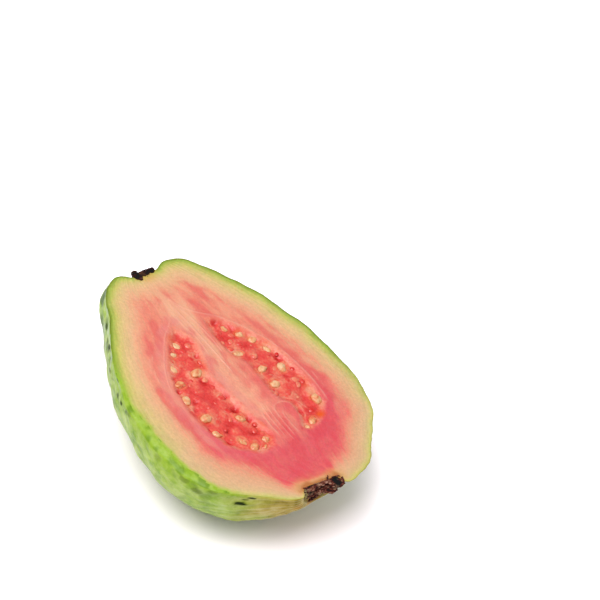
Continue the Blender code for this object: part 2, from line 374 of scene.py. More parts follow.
@dataclass
class FruitForm:
    """The fruit's shape, in its own directions, in millimetres. Shares are of half its length and of
    its half width; lumps and bumps are a height and a size, ribs a count, a height and a turn."""

    length: float = 90.0
    half_width: float = 37.2
    depth_share: float = 0.80
    outline: Outline = (
        (-0.960, 0.000), (-0.960, 0.075), (-0.965, 0.128), (-0.986, 0.165), (-1.003, 0.215),
        (-1.003, 0.280), (-0.970, 0.380), (-0.885, 0.480), (-0.720, 0.612), (-0.420, 0.822),
        (-0.100, 0.950), (0.180, 1.000), (0.400, 0.975), (0.590, 0.888), (0.745, 0.745),
        (0.865, 0.562), (0.938, 0.405), (0.972, 0.295), (0.979, 0.240), (0.966, 0.205),
        (0.934, 0.186), (0.909, 0.150), (0.905, 0.080), (0.905, 0.000),
    )
    sides: tuple[int, int] = (5, 19)
    stem_shift: float = -1.0
    calyx_shift: float = 3.0
    shift_span: tuple[float, float] = (0.70, 0.90)
    lump: tuple[float, float] = (0.75, 15.0)
    bump: tuple[float, float] = (0.48, 6.5)
    bump_start: tuple[float, float, float] = (7.0, 3.0, 1.0)
    ribs: tuple[int, float, float] = (7, 0.55, 0.6)
    rib_span: tuple[float, float] = (-0.95, 0.1)
    pit_edge: tuple[float, float] = (0.24, 0.42)
    fall_back: float = 4.0
    fall_turns: tuple[float, float, float, float] = (0.0, 0.25, 1.4, 2.5)
    fall_along: tuple[float, float] = (0.60, 0.95)
    fall_away: tuple[float, float] = (0.15, 0.30)

    def corners(self) -> Points:
        """The outline's corners, in millimetres along the core and away from it."""
        return np.array(self.outline) * np.array([self.length / 2, self.half_width])

    def meridian(self, stations: int) -> tuple[Points, Points]:
        """Half of the cut outline, in even steps along it.

        Args:
            stations: how many steps.

        Returns:
            Points (along the core, away from it) and their outward normals.
        """
        fine = smooth_line(self.corners(), 40 * len(self.outline))
        fine[0, 1] = fine[-1, 1] = 0.0
        run = np.concatenate([[0.0], np.cumsum(np.linalg.norm(np.diff(fine, axis=0), axis=1))])
        marks = np.linspace(0.0, run[-1], stations + 1)
        curve = np.stack([np.interp(marks, run, fine[:, k]) for k in (0, 1)], axis=1)
        ahead = np.gradient(curve, axis=0)
        normals = np.stack([-ahead[:, 1], ahead[:, 0]], axis=1)
        return curve, normals / np.linalg.norm(normals, axis=1)[:, None]

    def core_shift(self, x: Row) -> Row:
        """How far the core lies off the middle of the cut face at x."""
        share = ramp(*self.shift_span, np.abs(x) / (self.length / 2))
        return share * np.where(np.asarray(x) > 0, self.calyx_shift, self.stem_shift)

    def half_width_at(self, x: Row) -> Row:
        """How far the skin is from the core at x, on the cut face."""
        return np.interp(x, *self.corners()[slice(*self.sides)].T)

    def smooth_skin(self, base: Points, turn: Row) -> Points:
        """Places round a straight core: the meridian's points, each at its own turn."""
        x, away = base.T
        return np.stack([x, away * np.cos(turn), -away * self.depth_share * np.sin(turn)], axis=1)

    def relief(self, flat: Points, turn: Row, along: Row) -> Row:
        """Height of the skin's lumps, bumps and ribs; the two pits stay smooth.

        Args:
            flat: places on the smooth fruit.
            turn: their turn round the core.
            along: their share of half the length.

        Returns:
            One height a place.
        """
        lumps = self.lump[0] * perlin(flat, self.lump[1])
        bumps = self.bump[0] * perlin(flat, self.bump[1], self.bump_start)
        count, height, start = self.ribs
        ribs = height * np.cos(count * turn + start) * (1.0 - ramp(*self.rib_span, along))
        away = np.hypot(flat[:, 1], flat[:, 2]) / self.half_width
        return (lumps + bumps + ribs) * ramp(*self.pit_edge, away)

    def skin(self, base: Points, normal: Points, turn: Row, sink: Row | float = 0.0) -> Points:
        """Places on the skin.

        Args:
            base: points of the meridian, one a place.
            normal: their normals.
            turn: 0 and pi at the cut face, pi / 2 at the middle of the back.
            sink: how far fine relief pulls each place in.

        Returns:
            One point a place.
        """
        along, out = base[:, 0] / (self.length / 2), base[:, 1] / self.half_width
        height = self.relief(self.smooth_skin(base, turn), turn, along) - sink
        far_side = ramp(*self.fall_turns[:2], turn) * (1.0 - ramp(*self.fall_turns[2:], turn))
        calyx_end = ramp(*self.fall_along, along) * ramp(*self.fall_away, out)
        placed = self.smooth_skin(base + normal * height[:, None], turn)
        placed[:, 0] -= self.fall_back * far_side * calyx_end
        placed[:, 1] += self.core_shift(base[:, 0])
        return placed


@dataclass
class SeedCore:
    """The seed chambers, the placenta between them and where seeds sit, in millimetres."""

    near_wall: Outline = (
        (-23.5, -5.0), (-18.0, -10.6), (-10.5, -15.5), (-3.0, -18.6), (5.0, -19.2), (14.5, -17.6),
        (21.5, -14.0), (25.2, -7.0), (24.6, -1.6), (20.8, 0.2), (14.0, -1.4), (7.0, -2.6),
        (1.0, -4.0), (-5.0, -5.0), (-11.0, -2.8), (-17.0, -1.2),
    )
    far_wall: Outline = (
        (-23.2, 5.6), (-20.0, 11.4), (-13.5, 16.3), (-8.0, 19.6), (-0.5, 21.9), (8.0, 23.0),
        (16.5, 22.8), (21.5, 17.8), (23.6, 12.6), (22.4, 9.8), (17.5, 12.0), (13.0, 12.2),
        (10.6, 10.4), (8.0, 9.2), (-3.8, 9.0), (-6.5, 7.0), (-10.0, 5.4), (-17.0, 5.0),
    )
    wall_span: tuple[float, float] = (-0.6, 1.9)
    middle: tuple[float, float] = (0.5, 1.5)
    sunk: float = 0.85
    lump: tuple[float, float] = (0.45, 4.5)
    seed_size: tuple[float, float, float] = (3.6, 2.7, 2.3)
    seed_rise: float = 0.2
    seeds: tuple = (
        (-17.7, -7.7, 20, 0.85), (-15.1, -10.7, 60, 0.80), (-10.5, -13.9, 10, 0.95),
        (-5.0, -15.3, 80, 1.10), (0.6, -17.0, -20, 1.15), (8.5, -15.4, 85, 1.20),
        (14.3, -15.7, 60, 1.00), (19.4, -9.8, 10, 0.95), (22.4, -7.6, -75, 1.10),
        (-6.7, -8.1, 100, 1.20), (12.0, -5.4, 40, 1.00), (21.2, -2.7, 80, 0.85),
        (23.4, -4.6, -60, 0.75), (-17.8, 10.2, 30, 0.85), (-14.3, 13.3, 70, 0.80),
        (-11.2, 15.9, 80, 0.95), (-6.8, 18.1, 10, 0.85), (0.4, 18.3, -20, 1.10),
        (14.2, 21.1, -8, 1.25), (20.8, 15.1, -50, 1.05), (22.1, 12.2, -70, 0.75),
        (-8.2, 8.4, 80, 0.95), (-0.8, 11.9, 95, 1.00), (5.0, 12.6, 82, 1.05),
    )
    pits: tuple = (
        (-2.5, 19.5, 1.3, 1.0), (-20.7, 8.6, 1.0, 0.8), (-14.0, 11.4, 0.9, 0.4),
        (3.8, 17.8, 1.0, 0.5), (13.5, 18.2, 1.6, 0.6), (16.6, 13.8, 1.1, 0.6),
        (21.6, 9.9, 0.8, 0.6), (-12.0, -4.0, 0.8, 0.9), (-3.6, -7.6, 1.1, 0.6),
        (3.2, -4.6, 1.3, 0.9), (8.8, -4.9, 1.2, 1.0), (13.3, -3.2, 0.9, 0.8),
        (17.8, -4.8, 1.2, 0.6), (-7.2, -16.2, 0.8, 0.9), (-2.8, -17.2, 0.8, 0.9),
        (2.2, -14.8, 1.1, 0.7), (4.4, -16.0, 0.9, 0.6), (12.6, -17.0, 0.6, 1.0),
        (18.6, -14.0, 1.0, 0.8), (12.6, -9.6, 2.0, 0.5), (14.6, -11.4, 1.2, 0.6),
    )
    stains: tuple = (
        (19.6, 18.8, 1.5, 1.0), (8.2, 21.6, 1.6, 0.6), (5.5, 20.4, 1.1, 0.4),
        (16.8, -1.6, 1.6, 0.7), (-14.6, 12.9, 1.6, 0.6), (-20.2, -8.4, 1.5, 0.5),
        (-13.6, -12.0, 1.3, 0.6), (8.6, -16.6, 1.9, 0.5), (18.4, -15.6, 1.0, 0.5),
        (-8.6, 17.8, 2.2, 0.4), (23.8, -8.6, 1.0, 0.5), (-8.2, 6.6, 1.2, 0.5),
        (-0.6, 9.8, 1.4, 0.4), (-9.0, -5.4, 1.8, 0.4),
    )
    strands: tuple = (
        ((24.5, 6.2), (20.0, 6.0), (16.0, 5.9), (13.3, 6.1), (12.0, 7.2), (11.6, 9.0),
         (12.1, 11.0), (13.4, 12.2), (16.2, 12.4), (19.2, 12.0), (21.2, 10.9), (22.8, 10.0)),
        ((10.3, 7.9), (9.8, 10.0), (10.2, 11.8), (11.2, 13.4), (12.4, 14.7), (14.0, 15.6),
         (15.6, 16.4), (17.0, 17.4)),
        ((12.2, 14.3), (14.4, 14.8), (17.4, 14.6), (20.0, 13.0)),
        ((9.2, 7.4), (8.6, 9.2), (8.6, 11.2)),
        ((7.5, 8.0), (7.1, 10.0), (7.8, 12.1)),
        ((13.6, 8.4), (16.4, 7.6), (20.0, 7.8), (24.0, 8.2)),
        ((10.6, 4.8), (15.0, 4.3), (20.0, 4.5), (25.6, 5.1)),
        ((9.6, 3.3), (15.0, 2.9), (20.4, 3.1), (24.6, 3.0)),
        ((11.8, 1.8), (17.0, 1.3), (22.6, 1.8)),
        ((-33.5, -0.6), (-29.0, 2.0), (-26.4, 4.2), (-24.2, 7.0), (-22.2, 10.0), (-19.8, 12.4),
         (-16.6, 15.2), (-13.2, 17.2), (-9.6, 19.6), (-5.0, 21.4), (0.0, 22.7), (6.0, 23.8),
         (12.0, 24.0), (17.0, 23.6)),
        ((4.6, 25.2), (8.5, 25.7), (12.4, 25.4)),
        ((-33.0, -1.4), (-28.6, -2.4), (-25.4, -4.6), (-21.6, -9.0), (-18.0, -12.0),
         (-12.0, -16.2), (-6.0, -19.0), (-1.0, -20.2)),
        ((-17.4, -16.8), (-13.2, -19.6), (-9.4, -20.9), (-6.4, -21.4)),
        ((-16.8, -18.4), (-13.4, -20.6), (-10.0, -21.9)),
        ((-32.0, -0.9), (-24.0, 0.4), (-12.0, 1.6), (-2.0, 2.4)),
        ((-31.0, 0.4), (-25.0, 2.4), (-17.0, 3.6), (-9.0, 4.0)),
        ((-31.0, -1.6), (-24.6, -1.8), (-17.6, -0.4), (-10.0, -0.6)),
    )
    strand_width: float = 0.25
    strand_tip: float = 2.5

    def chamber_depth(self, x: Row, y: Row) -> Row:
        """How deep (x, y) lies inside a chamber, negative outside both."""
        walls = (np.asarray(self.near_wall), np.asarray(self.far_wall))
        return np.maximum(*[depth_inside(x, y, wall) for wall in walls])

    def chamber_share(self, x: Row, y: Row) -> Row:
        """1 inside a seed chamber and 0 in the flesh, with soft edges."""
        return ramp(*self.wall_span, self.chamber_depth(x, y))

    def rough_height(self, x: Row, y: Row) -> Row:
        """Height of the cut face with only the pulp's broad lumps."""
        height, size = self.lump
        return self.chamber_share(x, y) * (height * perlin(at_height(x, y, 4.0), size) - self.sunk)

    def seed_distance(self, x: Row, y: Row) -> Row:
        """How far each place is from the nearest seed.

        Args:
            x: places along the core.
            y: places across the cut face.

        Returns:
            The distance to its middle, in that seed's own half length and half width.
        """
        nearest = np.full(x.shape, np.inf)
        for seed_x, seed_y, turn_deg, size in self.seeds:
            turn = math.radians(turn_deg)
            ahead = (x - seed_x) * math.cos(turn) + (y - seed_y) * math.sin(turn)
            aside = (y - seed_y) * math.cos(turn) - (x - seed_x) * math.sin(turn)
            long, wide = (share * size / 2 for share in self.seed_size[:2])
            nearest = np.minimum(nearest, np.hypot(ahead / long, aside / wide))
        return nearest

    def spots(self, x: Row, y: Row, places: tuple) -> Row:
        """Soft round spots.

        Args:
            x: places along the core.
            y: places across the cut face.
            places: (x, y, radius, strength) of each spot.

        Returns:
            Their strength at each place.
        """
        total = np.zeros(x.shape)
        for spot_x, spot_y, radius, strength in places:
            away = ((x - spot_x) ** 2 + (y - spot_y) ** 2) / radius**2
            total = np.maximum(total, strength * np.exp(-(away**1.5)))
        return total

    def strand_share(self, x: Row, y: Row) -> Row:
        """Where the pale strands run.

        Args:
            x: places along the core.
            y: places across the cut face.

        Returns:
            1 on a strand and 0 off it; strands thin out towards both their ends.
        """
        total = np.zeros(x.shape)
        for number, corners in enumerate(self.strands):
            line = smooth_line(corners, 6 * len(corners))
            ends = np.minimum(*[np.hypot(x - tip[0], y - tip[1]) for tip in (line[0], line[-1])])
            width = self.strand_width * (0.8 + 0.2 * math.sin(5.0 * number))
            thread = bell(distance_to_line(x, y, line), 0.0, width)
            total = np.maximum(total, ramp(0.0, self.strand_tip, ends) * thread)
        return total


@dataclass
class Rest:
    """How the fruit lies: its lean, and its place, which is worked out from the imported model."""

    form: FruitForm
    pitch_deg: float = 4.2
    lean_deg: float = -5.7
    flat_spot: float = 1.8
    matrix: Matrix | None = None

    def settle(self, low: Vector, high: Vector) -> None:
        """Finds the fruit's place from the body node's box.

        Args:
            low: the box's lowest corner, in metres.
            high: its highest corner.
        """
        pitch = Matrix.Rotation(math.radians(self.pitch_deg), 4, "Y")
        lean = Matrix.Rotation(math.radians(self.lean_deg), 4, "X")
        turned = Matrix.Scale(MM, 4) @ pitch @ lean
        curve, normals = self.form.meridian(120)
        turns = np.linspace(0.0, math.pi, 61)
        grid = [(k, turn) for k in range(len(curve)) for turn in turns]
        rows = np.array([k for k, _ in grid])
        skin = self.form.skin(curve[rows], normals[rows], np.array([turn for _, turn in grid]))
        placed = skin @ np.array(turned.to_3x3()).T
        middle = (placed.min(axis=0) + placed.max(axis=0)) / 2
        target = (low + high) / 2
        drop = placed[:, 2].min() + self.flat_spot * MM
        shift = Vector((target.x - middle[0], target.y - middle[1], -drop))
        self.matrix = Matrix.Translation(shift) @ turned

    def place(self, points: Points) -> Points:
        """Turns points on the flat-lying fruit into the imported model's own directions.

        Args:
            points: places in millimetres, one a row.

        Returns:
            The same places in metres, none below the floor.
        """
        turn = np.array(self.matrix.to_3x3())
        placed = points @ turn.T + np.array(self.matrix.translation)
        placed[:, 2] = np.maximum(placed[:, 2], 0.0)
        return placed


@dataclass
class Board:
    """A finish's node tree, with the numbers on a piece's corners and the noises that it reads."""

    tree: Tree
    facts: list[Socket]
    grains: list[Socket]

    def add(
        self, kind: str, settings: dict | None = None, links: dict | None = None, output: str | None = None
    ) -> Socket | None:
        """Adds a node to the tree, as add_node does."""
        return add_node(self.tree, kind, settings, links, output)

    def stir(self, number: Socket, grain: Socket, swing: float) -> Socket:
        """Lets a noise move a number up and down, and keeps the result from 0 to 1.

        Args:
            number: what is moved.
            grain: the noise.
            swing: how far it moves the number from the noise's 0 to its 1.

        Returns:
            The moved number.
        """
        shift = self.add(
            "ShaderNodeMath", {"operation": "MULTIPLY_ADD", 1: swing, 2: -swing / 2}, {0: grain}
        )
        return self.add("ShaderNodeMath", {"operation": "ADD", "use_clamp": True}, {0: number, 1: shift})

    def paint_over(self, colour: Socket, layers: tuple) -> Socket:
        """Lays paints over a colour, each as strongly as a number on the piece's corners says.

        Args:
            colour: the colour below them.
            layers: (the number's name, paint, strength) of each, from the lowest up.

        Returns:
            The painted colour.
        """
        for key, paint, strength in layers:
            fact = self.add("ShaderNodeAttribute", {"attribute_name": key}, output="Fac")
            share = self.add(
                "ShaderNodeMath", {"operation": "MULTIPLY", "use_clamp": True, 1: strength}, {0: fact}
            )
            colour = self.add(
                "ShaderNodeMix", {"data_type": "RGBA", MIX_B: pigment(paint)},
                {"Factor": share, MIX_A: colour},
            )
        return colour


@dataclass(frozen=True, kw_only=True)
class Finish:
    """What every finish has: its material's name, (size in millimetres, detail, roughness) of each
    noise that it is drawn with, and the numbers on a piece's corners that it reads."""

    name: str
    grains: tuple = ()
    reads: tuple[str, ...] = ()

    def make(self) -> Material:
        """Builds the material.

        Returns:
            The material, with its nodes drawn.
        """
        made = bpy.data.materials.new(self.name)
        made.use_nodes = True
        board = Board(made.node_tree, [], [])
        for key in self.reads:
            board.facts.append(board.add("ShaderNodeAttribute", {"attribute_name": key}, output="Fac"))
        for size, detail, roughness in self.grains:
            settings = {"Scale": 1.0 / (size * MM), "Detail": detail, "Roughness": roughness}
            place = board.add("ShaderNodeTexCoord", output="Object")
            board.grains.append(board.add("ShaderNodeTexNoise", settings, {"Vector": place}))
        self.draw(board)
        return made

    def draw(self, board: Board) -> None:
        """Sets up the nodes that turn the corners' numbers and the noises into this finish."""
        raise NotImplementedError


@dataclass(frozen=True, kw_only=True)
class Rind(Finish):
    """Waxy guava rind: a satin gloss that breaks up over pebbles and pores, deep green in the hollows as
    painted shade, pale in streaks towards the stem as painted sheen, straw-coloured and drier towards the
    calyx."""

    name: str = "waxy_guava_rind"
    # Mottling, dimples and pores.
    grains: tuple = ((4.5, 5.0, 0.62), (1.7, 2.0, 0.55), (0.5, 2.0, 0.5))
    reads: tuple[str, ...] = ("straw", "fleck")
    greens: tuple = (
        (0.28, "#6C9826"), (0.40, "#94B840"), (0.50, "#AAC854"), (0.60, "#BCD46C"), (0.76, "#CCE294"),
    )
    ripe: tuple = (
        (0.30, "#9A8A38"), (0.44, "#BAA650"), (0.54, "#CDBA68"), (0.68, "#DCCE8C"), (0.80, "#C8C066"),
    )
    layers: tuple = (
        ("rim_glow", "#98B63A", 0.5), ("valley", "#6E9222", 0.7), ("shade", "#446414", 0.8),
        ("bloom", "#C2D6AC", 0.55), ("rust", "#CC9030", 0.8), ("fleck", "#343C12", 0.95),
    )
    roughness: tuple[float, float] = (0.34, 0.52)
    wax_ior: float = 1.36
    fleck_and_shade_ior: float = 1.04

    def draw(self, board: Board) -> None:
        """Mottles the skin, paints its markings and bumps it with dimples and pores.

        Args:
            board: the material's tree.
        """
        ripe, fleck = board.facts
        mottle, dimples, pores = board.grains
        green, straw = [
            board.add("ShaderNodeValToRGB", {"stops": stops}, {"Fac": mottle})
            for stops in (self.greens, self.ripe)
        ]
        colour = board.add(
            "ShaderNodeMix", {"data_type": "RGBA"},
            {"Factor": ripe, MIX_A: green, MIX_B: straw},
        )
        low, high = self.roughness
        gloss = board.add("ShaderNodeMapRange", {"To Min": low, "To Max": high}, {"Value": mottle})
        dull = board.add(
            "ShaderNodeMapRange", {"To Min": self.wax_ior, "To Max": self.fleck_and_shade_ior},
            {"Value": fleck},
        )
        coarse = board.add(
            "ShaderNodeBump", {"Strength": 0.6, "Distance": 0.6 * MM}, {"Height": dimples}
        )
        fine = board.add(
            "ShaderNodeBump", {"Strength": 0.3, "Distance": 0.2 * MM},
            {"Height": pores, "Normal": coarse},
        )
        board.add(
            "Principled BSDF",
            {
                "Specular IOR Level": 0.25, "Coat Weight": 0.04, "Coat Roughness": 0.2,
                "Subsurface Weight": 0.12, "Subsurface Radius": (1.0, 0.8, 0.2),
                "Subsurface Scale": 0.8 * MM,
            },
            {
                "Base Color": board.paint_over(colour, self.layers), "Roughness": gloss, "IOR": dull,
                "Normal": fine,
            },
        )


@dataclass(frozen=True, kw_only=True)
class Flesh(Finish):
    """Knife-cut ripe guava flesh: moist, gritty with stone cells, faintly fibrous and translucent;
    green under the rind, then cream, salmon and raspberry pink, with wet red pulp round the seeds."""

    name: str = "moist_guava_flesh"
    # Grit, blotches and finer grit.
    grains: tuple = ((0.8, 3.0, 0.6), (6.5, 3.0, 0.6), (0.5, 3.0, 0.6))
    reads: tuple[str, ...] = ("ripeness", "toward_calyx", "placenta", "pulp", "pulp_tone")
    stem_bands: tuple = (
        (0.0, "#6F8430"), (0.022, "#8CA242"), (0.054, "#ABBB58"), (0.09, "#C0C466"),
        (0.13, "#D0C875"), (0.17, "#DCC882"), (0.24, "#E5C58D"), (0.35, "#EDBE93"),
        (0.43, "#EFB38D"), (0.50, "#F0A385"), (0.60, "#F0967F"), (0.78, "#F0917B"),
    )
    calyx_bands: tuple = (
        (0.0, "#A3A850"), (0.02, "#CFCA74"), (0.06, "#DDCA88"), (0.11, "#E0BF90"),
        (0.20, "#E7B891"), (0.30, "#E8AE8A"), (0.38, "#EC9D82"), (0.45, "#EE8878"),
        (0.52, "#EA716F"), (0.62, "#E7666C"), (0.80, "#E6626B"), (1.0, "#E96A6C"),
    )
    placenta: tuple = ((0.0, "#F0AA8C"), (0.45, "#F6A68C"), (0.75, "#F29280"), (1.0, "#EA716C"))
    pulp: tuple = (
        (0.0, "#B42A26"), (0.20, "#D6423E"), (0.40, "#E7504D"), (0.58, "#EE6058"), (0.76, "#F27E6A"),
        (1.0, "#F5A487"),
    )
    layers: tuple = (
        ("flush", "#E4505C", 0.42), ("blanch", "#F5B996", 0.4), ("mauve", "#E8848A", 0.45),
        ("green_rim", "#A6C446", 0.95), ("tan", "#E4A862", 0.9), ("scorch", "#B8683C", 0.8),
        ("stain", "#EC6438", 0.9), ("halo", "#E8905E", 0.45), ("strand", "#F9B8A2", 0.55),
    )
    dry_roughness: float = 0.42
    wet_roughness: float = 0.30

    def draw(self, board: Board) -> None:
        """Colours the flesh by how deep it lies, then the placenta, the pulp and their markings.

        Args:
            board: the material's tree.
        """
        ripeness, toward_calyx, placenta, pulp, pulp_tone = board.facts
        grit, blotch, fine = board.grains
        along_fibres = board.add("ShaderNodeAttribute", {"attribute_name": "grain"}, output="Vector")
        streaks = board.add(
            "ShaderNodeTexNoise", {"Scale": 1.0, "Detail": 5.0, "Roughness": 0.6},
            {"Vector": along_fibres},
        )
        wander = board.add(
            "ShaderNodeMath", {"operation": "MULTIPLY_ADD", 1: 0.9, 2: 0.55}, {0: streaks}
        )
        band = board.add("ShaderNodeMath", {"operation": "MULTIPLY"}, {0: ripeness, 1: wander})
        blush = board.stir(toward_calyx, blotch, 1.1)
        # the pulp's red follows its tone, which carries painted shade and painted highlight
        level = board.stir(pulp_tone, grit, 0.8)
        stem_side, calyx_side, pale, red = [
            board.add("ShaderNodeValToRGB", {"stops": stops}, {"Fac": place})
            for stops, place in (
                (self.stem_bands, band), (self.calyx_bands, band), (self.placenta, blush),
                (self.pulp, level),
            )
        ]
        flesh = board.add(
            "ShaderNodeMix", {"data_type": "RGBA"},
            {"Factor": blush, MIX_A: stem_side, MIX_B: calyx_side},
        )
        core = board.add(
            "ShaderNodeMix", {"data_type": "RGBA"},
            {"Factor": placenta, MIX_A: flesh, MIX_B: pale},
        )
        speck = board.add("ShaderNodeMath", {"operation": "ADD"}, {0: streaks, 1: grit})
        contrast = board.add(
            "ShaderNodeMapRange", {"From Min": 0.7, "From Max": 1.3, "To Min": 0.39, "To Max": 0.62},
            {"Value": speck},
        )
        gritty = board.add(
            "ShaderNodeMix", {"data_type": "RGBA", "blend_type": "OVERLAY", "Factor": 0.55},
            {MIX_A: core, MIX_B: contrast},
        )
        colour = board.add(
            "ShaderNodeMix", {"data_type": "RGBA"},
            {"Factor": pulp, MIX_A: gritty, MIX_B: red},
        )
        wet = board.add(
            "ShaderNodeMapRange", {"To Min": self.dry_roughness, "To Max": self.wet_roughness},
            {"Value": pulp},
        )
        lumps = board.add("ShaderNodeBump", {"Strength": 0.4, "Distance": 0.25 * MM}, {"Height": grit})
        bumps = board.add(
            "ShaderNodeBump", {"Strength": 0.4, "Distance": 0.15 * MM},
            {"Height": fine, "Normal": lumps},
        )
        board.add(
            "Principled BSDF",
            {
                "IOR": 1.36, "Specular IOR Level": 0.4, "Subsurface Weight": 0.35,
                "Subsurface Radius": (1.0, 0.4, 0.25), "Subsurface Scale": 0.7 * MM,
            },
            {"Base Color": board.paint_over(colour, self.layers), "Roughness": wet, "Normal": bumps},
        )


@dataclass(frozen=True, kw_only=True)
class WetBlob(Finish):
    """A seed or a juice sac under a film of juice: glossy and a little translucent, its crest in its
    own colour and its foot stained by the pulp it sits in."""

    tones: tuple
    foot: tuple
    grains: tuple = ((1.2, 3.0, 0.5),)
    reads: tuple[str, ...] = ("tone", "crest")
    roughness: float = 0.3
    bare: tuple[float, float] = (0.4, 0.95)

    def draw(self, board: Board) -> None:
        """Mottles the crest and stains the foot.

        Args:
            board: the material's tree.
        """
        tone, crest = board.facts
        level = board.stir(tone, board.grains[0], 1.4)
        coat = board.add("ShaderNodeValToRGB", {"stops": self.tones}, {"Fac": level})
        stain = board.add("ShaderNodeValToRGB", {"stops": self.foot}, {"Fac": crest})
        low, high = self.bare
        bare = board.add("ShaderNodeMapRange", {"From Min": low, "From Max": high}, {"Value": crest})
        colour = board.add(
            "ShaderNodeMix", {"data_type": "RGBA"}, {"Factor": bare, MIX_A: stain, MIX_B: coat}
        )
        board.add(
            "Principled BSDF",
            {
                "Roughness": self.roughness, "IOR": 1.42, "Subsurface Weight": 0.3,
                "Subsurface Radius": (1.0, 0.6, 0.35), "Subsurface Scale": 0.6 * MM,
            },
            {"Base Color": colour},
        )


@dataclass(frozen=True, kw_only=True)
class DryScrap(Finish):
    """Dead, air-dried plant tissue: dull, fibrous and brittle, with painted shade that makes it near black
    in its hollows and dark in its cracks.
    """

    tones: tuple
    bare: str
    grains: tuple = ((0.55, 5.0, 0.7),)
    reads: tuple[str, ...] = ("crest", "worn")

    def draw(self, board: Board) -> None:
        """Browns the tissue by its height, darker in cracks and hollows as painted shade, and bares what is
        worn.

        Args:
            board: the material's tree.
        """
        crest, worn = board.facts
        crumbs = board.grains[0]
        level = board.stir(crest, crumbs, 0.55)
        brown = board.add("ShaderNodeValToRGB", {"stops": self.tones}, {"Fac": level})
        peeled = board.add(
            "ShaderNodeMix", {"data_type": "RGBA", MIX_B: pigment(self.bare)},
            {"Factor": worn, MIX_A: brown},
        )
        bumps = board.add("ShaderNodeBump", {"Strength": 0.7, "Distance": 0.2 * MM}, {"Height": crumbs})
        board.add(
            "Principled BSDF", {"Roughness": 0.8, "Specular IOR Level": 0.12},
            {"Base Color": peeled, "Normal": bumps},
        )


@dataclass(frozen=True, kw_only=True)
class StudioFloor(Finish):
    """Matt white paper sweep: shows only the fruit's soft shadow."""

    name: str = "white_paper"
    paper: str = "#FBF4FA"

    def draw(self, board: Board) -> None:
        """Makes the paper plain and matt."""
        plain = {"Base Color": linear(self.paper), "Roughness": 0.95, "Specular IOR Level": 0.1}
        board.add("Principled BSDF", plain)


